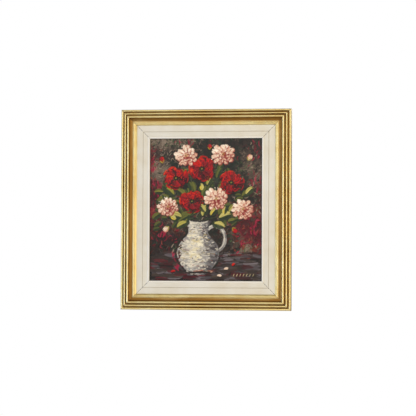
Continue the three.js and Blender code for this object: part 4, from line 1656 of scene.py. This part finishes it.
askew = np.random.default_rng(41)
staples = bmesh.new()
bmesh.ops.create_cone(
    staples, cap_ends=True, segments=8, radius1=STAPLE_WIRE * MM, radius2=STAPLE_WIRE * MM,
    depth=STAPLE_LONG * MM)
long_edges = [edge for edge in staples.edges if runs_along(edge, 2)]
bmesh.ops.subdivide_edges(staples, edges=long_edges, cuts=STAPLE_CUTS)
for vert in staples.verts:
    past = max(abs(vert.co.z) - (STAPLE_LONG / 2 - STAPLE_BEND) * MM, 0)
    vert.co.y -= past ** 2 / (STAPLE_BEND * MM)
down = Matrix.Scale(-1, 4, (0, 1, 0))
placings = []
for side in SIDES:
    reach, length = rail_lie(side, canvas_low, canvas_high)
    where = side_matrix(side, reach, back_y - canvas_high.y)
    half = length / 2 - STAPLE_END * MM
    count = 2 * round(half / MM / STAPLE_SPACING + 0.5)
    for along in np.linspace(-half, half, count):
        inset = (STAPLE_INSET + askew.normal(0, 1.0)) * MM
        lay = Matrix.Translation((inset, 0, along + askew.normal(0, 2.0) * MM))
        turned = Matrix.Rotation(askew.normal(0, 0.12), 4, "Y")
        placings.append(where @ lay @ down @ turned)
lay_copies(staples, placings)
hem_staples = finish_mesh(staples, "hem_staples")
dress(hem_staples, zinc)
print("staple faces:", len(hem_staples.data.polygons))

# %% [markdown]
# ## The cut of the cloth
# Before it was stretched the canvas was a flat rectangle: the front, twice the depth of the sides and
# twice the hem.

# %% [markdown]
# ## Camera
# The photo was taken from far enough that the sides hardly converge: the right edge stands a touch
# taller than the left, and the bottom a touch wider than the top. That is a long lens a few degrees
# to the right of the picture's middle and slightly below it.

# %% The camera
SENSOR = 36
VIEW_DISTANCE = 6.0
VIEW_RIGHT = math.radians(8.45)
VIEW_UP = math.radians(-1.73)
VIEW_ROLL = math.radians(0.25)
FRAME_WIDTHS_TO_TARGET = 4.2025
AIM = Vector((middle.x + 8.5 * MM, -25 * MM, middle.z + 5.3 * MM))

camera = in_scene("camera", bpy.data.cameras.new("camera"))
bpy.context.scene.camera = camera
camera.data.sensor_width = SENSOR
camera.data.lens = FRAME_WIDTHS_TO_TARGET * SENSOR
camera.data.clip_end = 60
towards = Vector((math.sin(VIEW_RIGHT) * math.cos(VIEW_UP), -math.cos(VIEW_RIGHT) * math.cos(VIEW_UP),
                  math.sin(VIEW_UP)))
camera.location = AIM + VIEW_DISTANCE * towards
camera.rotation_mode = "QUATERNION"
facing = (-towards).to_track_quat("-Z", "Y")
camera.rotation_quaternion = facing @ Matrix.Rotation(VIEW_ROLL, 3, "Z").to_quaternion()
print("camera at", [round(value, 3) for value in camera.location])

# %% [markdown]
# ## Light, floor and background
# Metal shows what stands round it, so the gilding needs large soft lights with dim gaps between
# them. A warm, very broad light stands in front, above the camera, a cooler window stands low on the
# left, and a weak one closes the right. The background is plain white for the camera alone.

# %% The stage
FLOOR_DROP = 0.62
FLOOR_SIZE = 3.2


def soft_light(name, place, size, power, colour):
    data = bpy.data.lights.new(name, "AREA")
    data.shape = "RECTANGLE"
    data.size, data.size_y = size
    data.energy = power
    data.color = linear(colour)[:3]
    light = in_scene(name, data)
    light.location = middle + Vector(place)
    light.rotation_mode = "QUATERNION"
    light.rotation_quaternion = (middle - light.location).to_track_quat("-Z", "Y")


soft_light("front_light", (0.6, -3.4, 1.3), (4.6, 3.4), 76, "#FFF8EA")
soft_light("window_light", (-3.2, -2.1, -0.7), (2.4, 2.4), 84, "#B8D0FF")
soft_light("right_light", (2.2, -1.6, -0.7), (1.6, 2.0), 28, "#FFEFCE")
soft_light("back_light", (0.8, 2.6, 1.4), (1.8, 1.8), 40, "#FFFFFF")

floor_mesh = bmesh.new()
bmesh.ops.create_grid(floor_mesh, x_segments=4, y_segments=4, size=FLOOR_SIZE / 2)
bmesh.ops.translate(floor_mesh, vec=(0, 0, gilt_low.z - FLOOR_DROP), verts=floor_mesh.verts)
floor = finish_mesh(floor_mesh, "floor")
floor_paint, floor_tree, floor_shader = new_material("pale_matt_floor")
feed(floor_tree, floor_shader, {"Base Color": linear("#EDECEA"), "Roughness": 0.9})
floor.data.materials.append(floor_paint)

world = bpy.data.worlds.new("studio")
bpy.context.scene.world = world
world.use_nodes = True
world_tree = world.node_tree
world_tree.nodes.clear()
seen = add(world_tree, "LightPath")
room = add(world_tree, "Background", {"Color": linear("#E4E2DE"), "Strength": 0.35})
paper = add(world_tree, "Background", {"Color": (1, 1, 1, 1), "Strength": 1.0})
both = add(world_tree, "MixShader", {0: seen, 1: room, 2: paper})
add(world_tree, "OutputWorld", {"Surface": both})
bpy.context.scene.view_settings.view_transform = "Standard"
print("stage set")
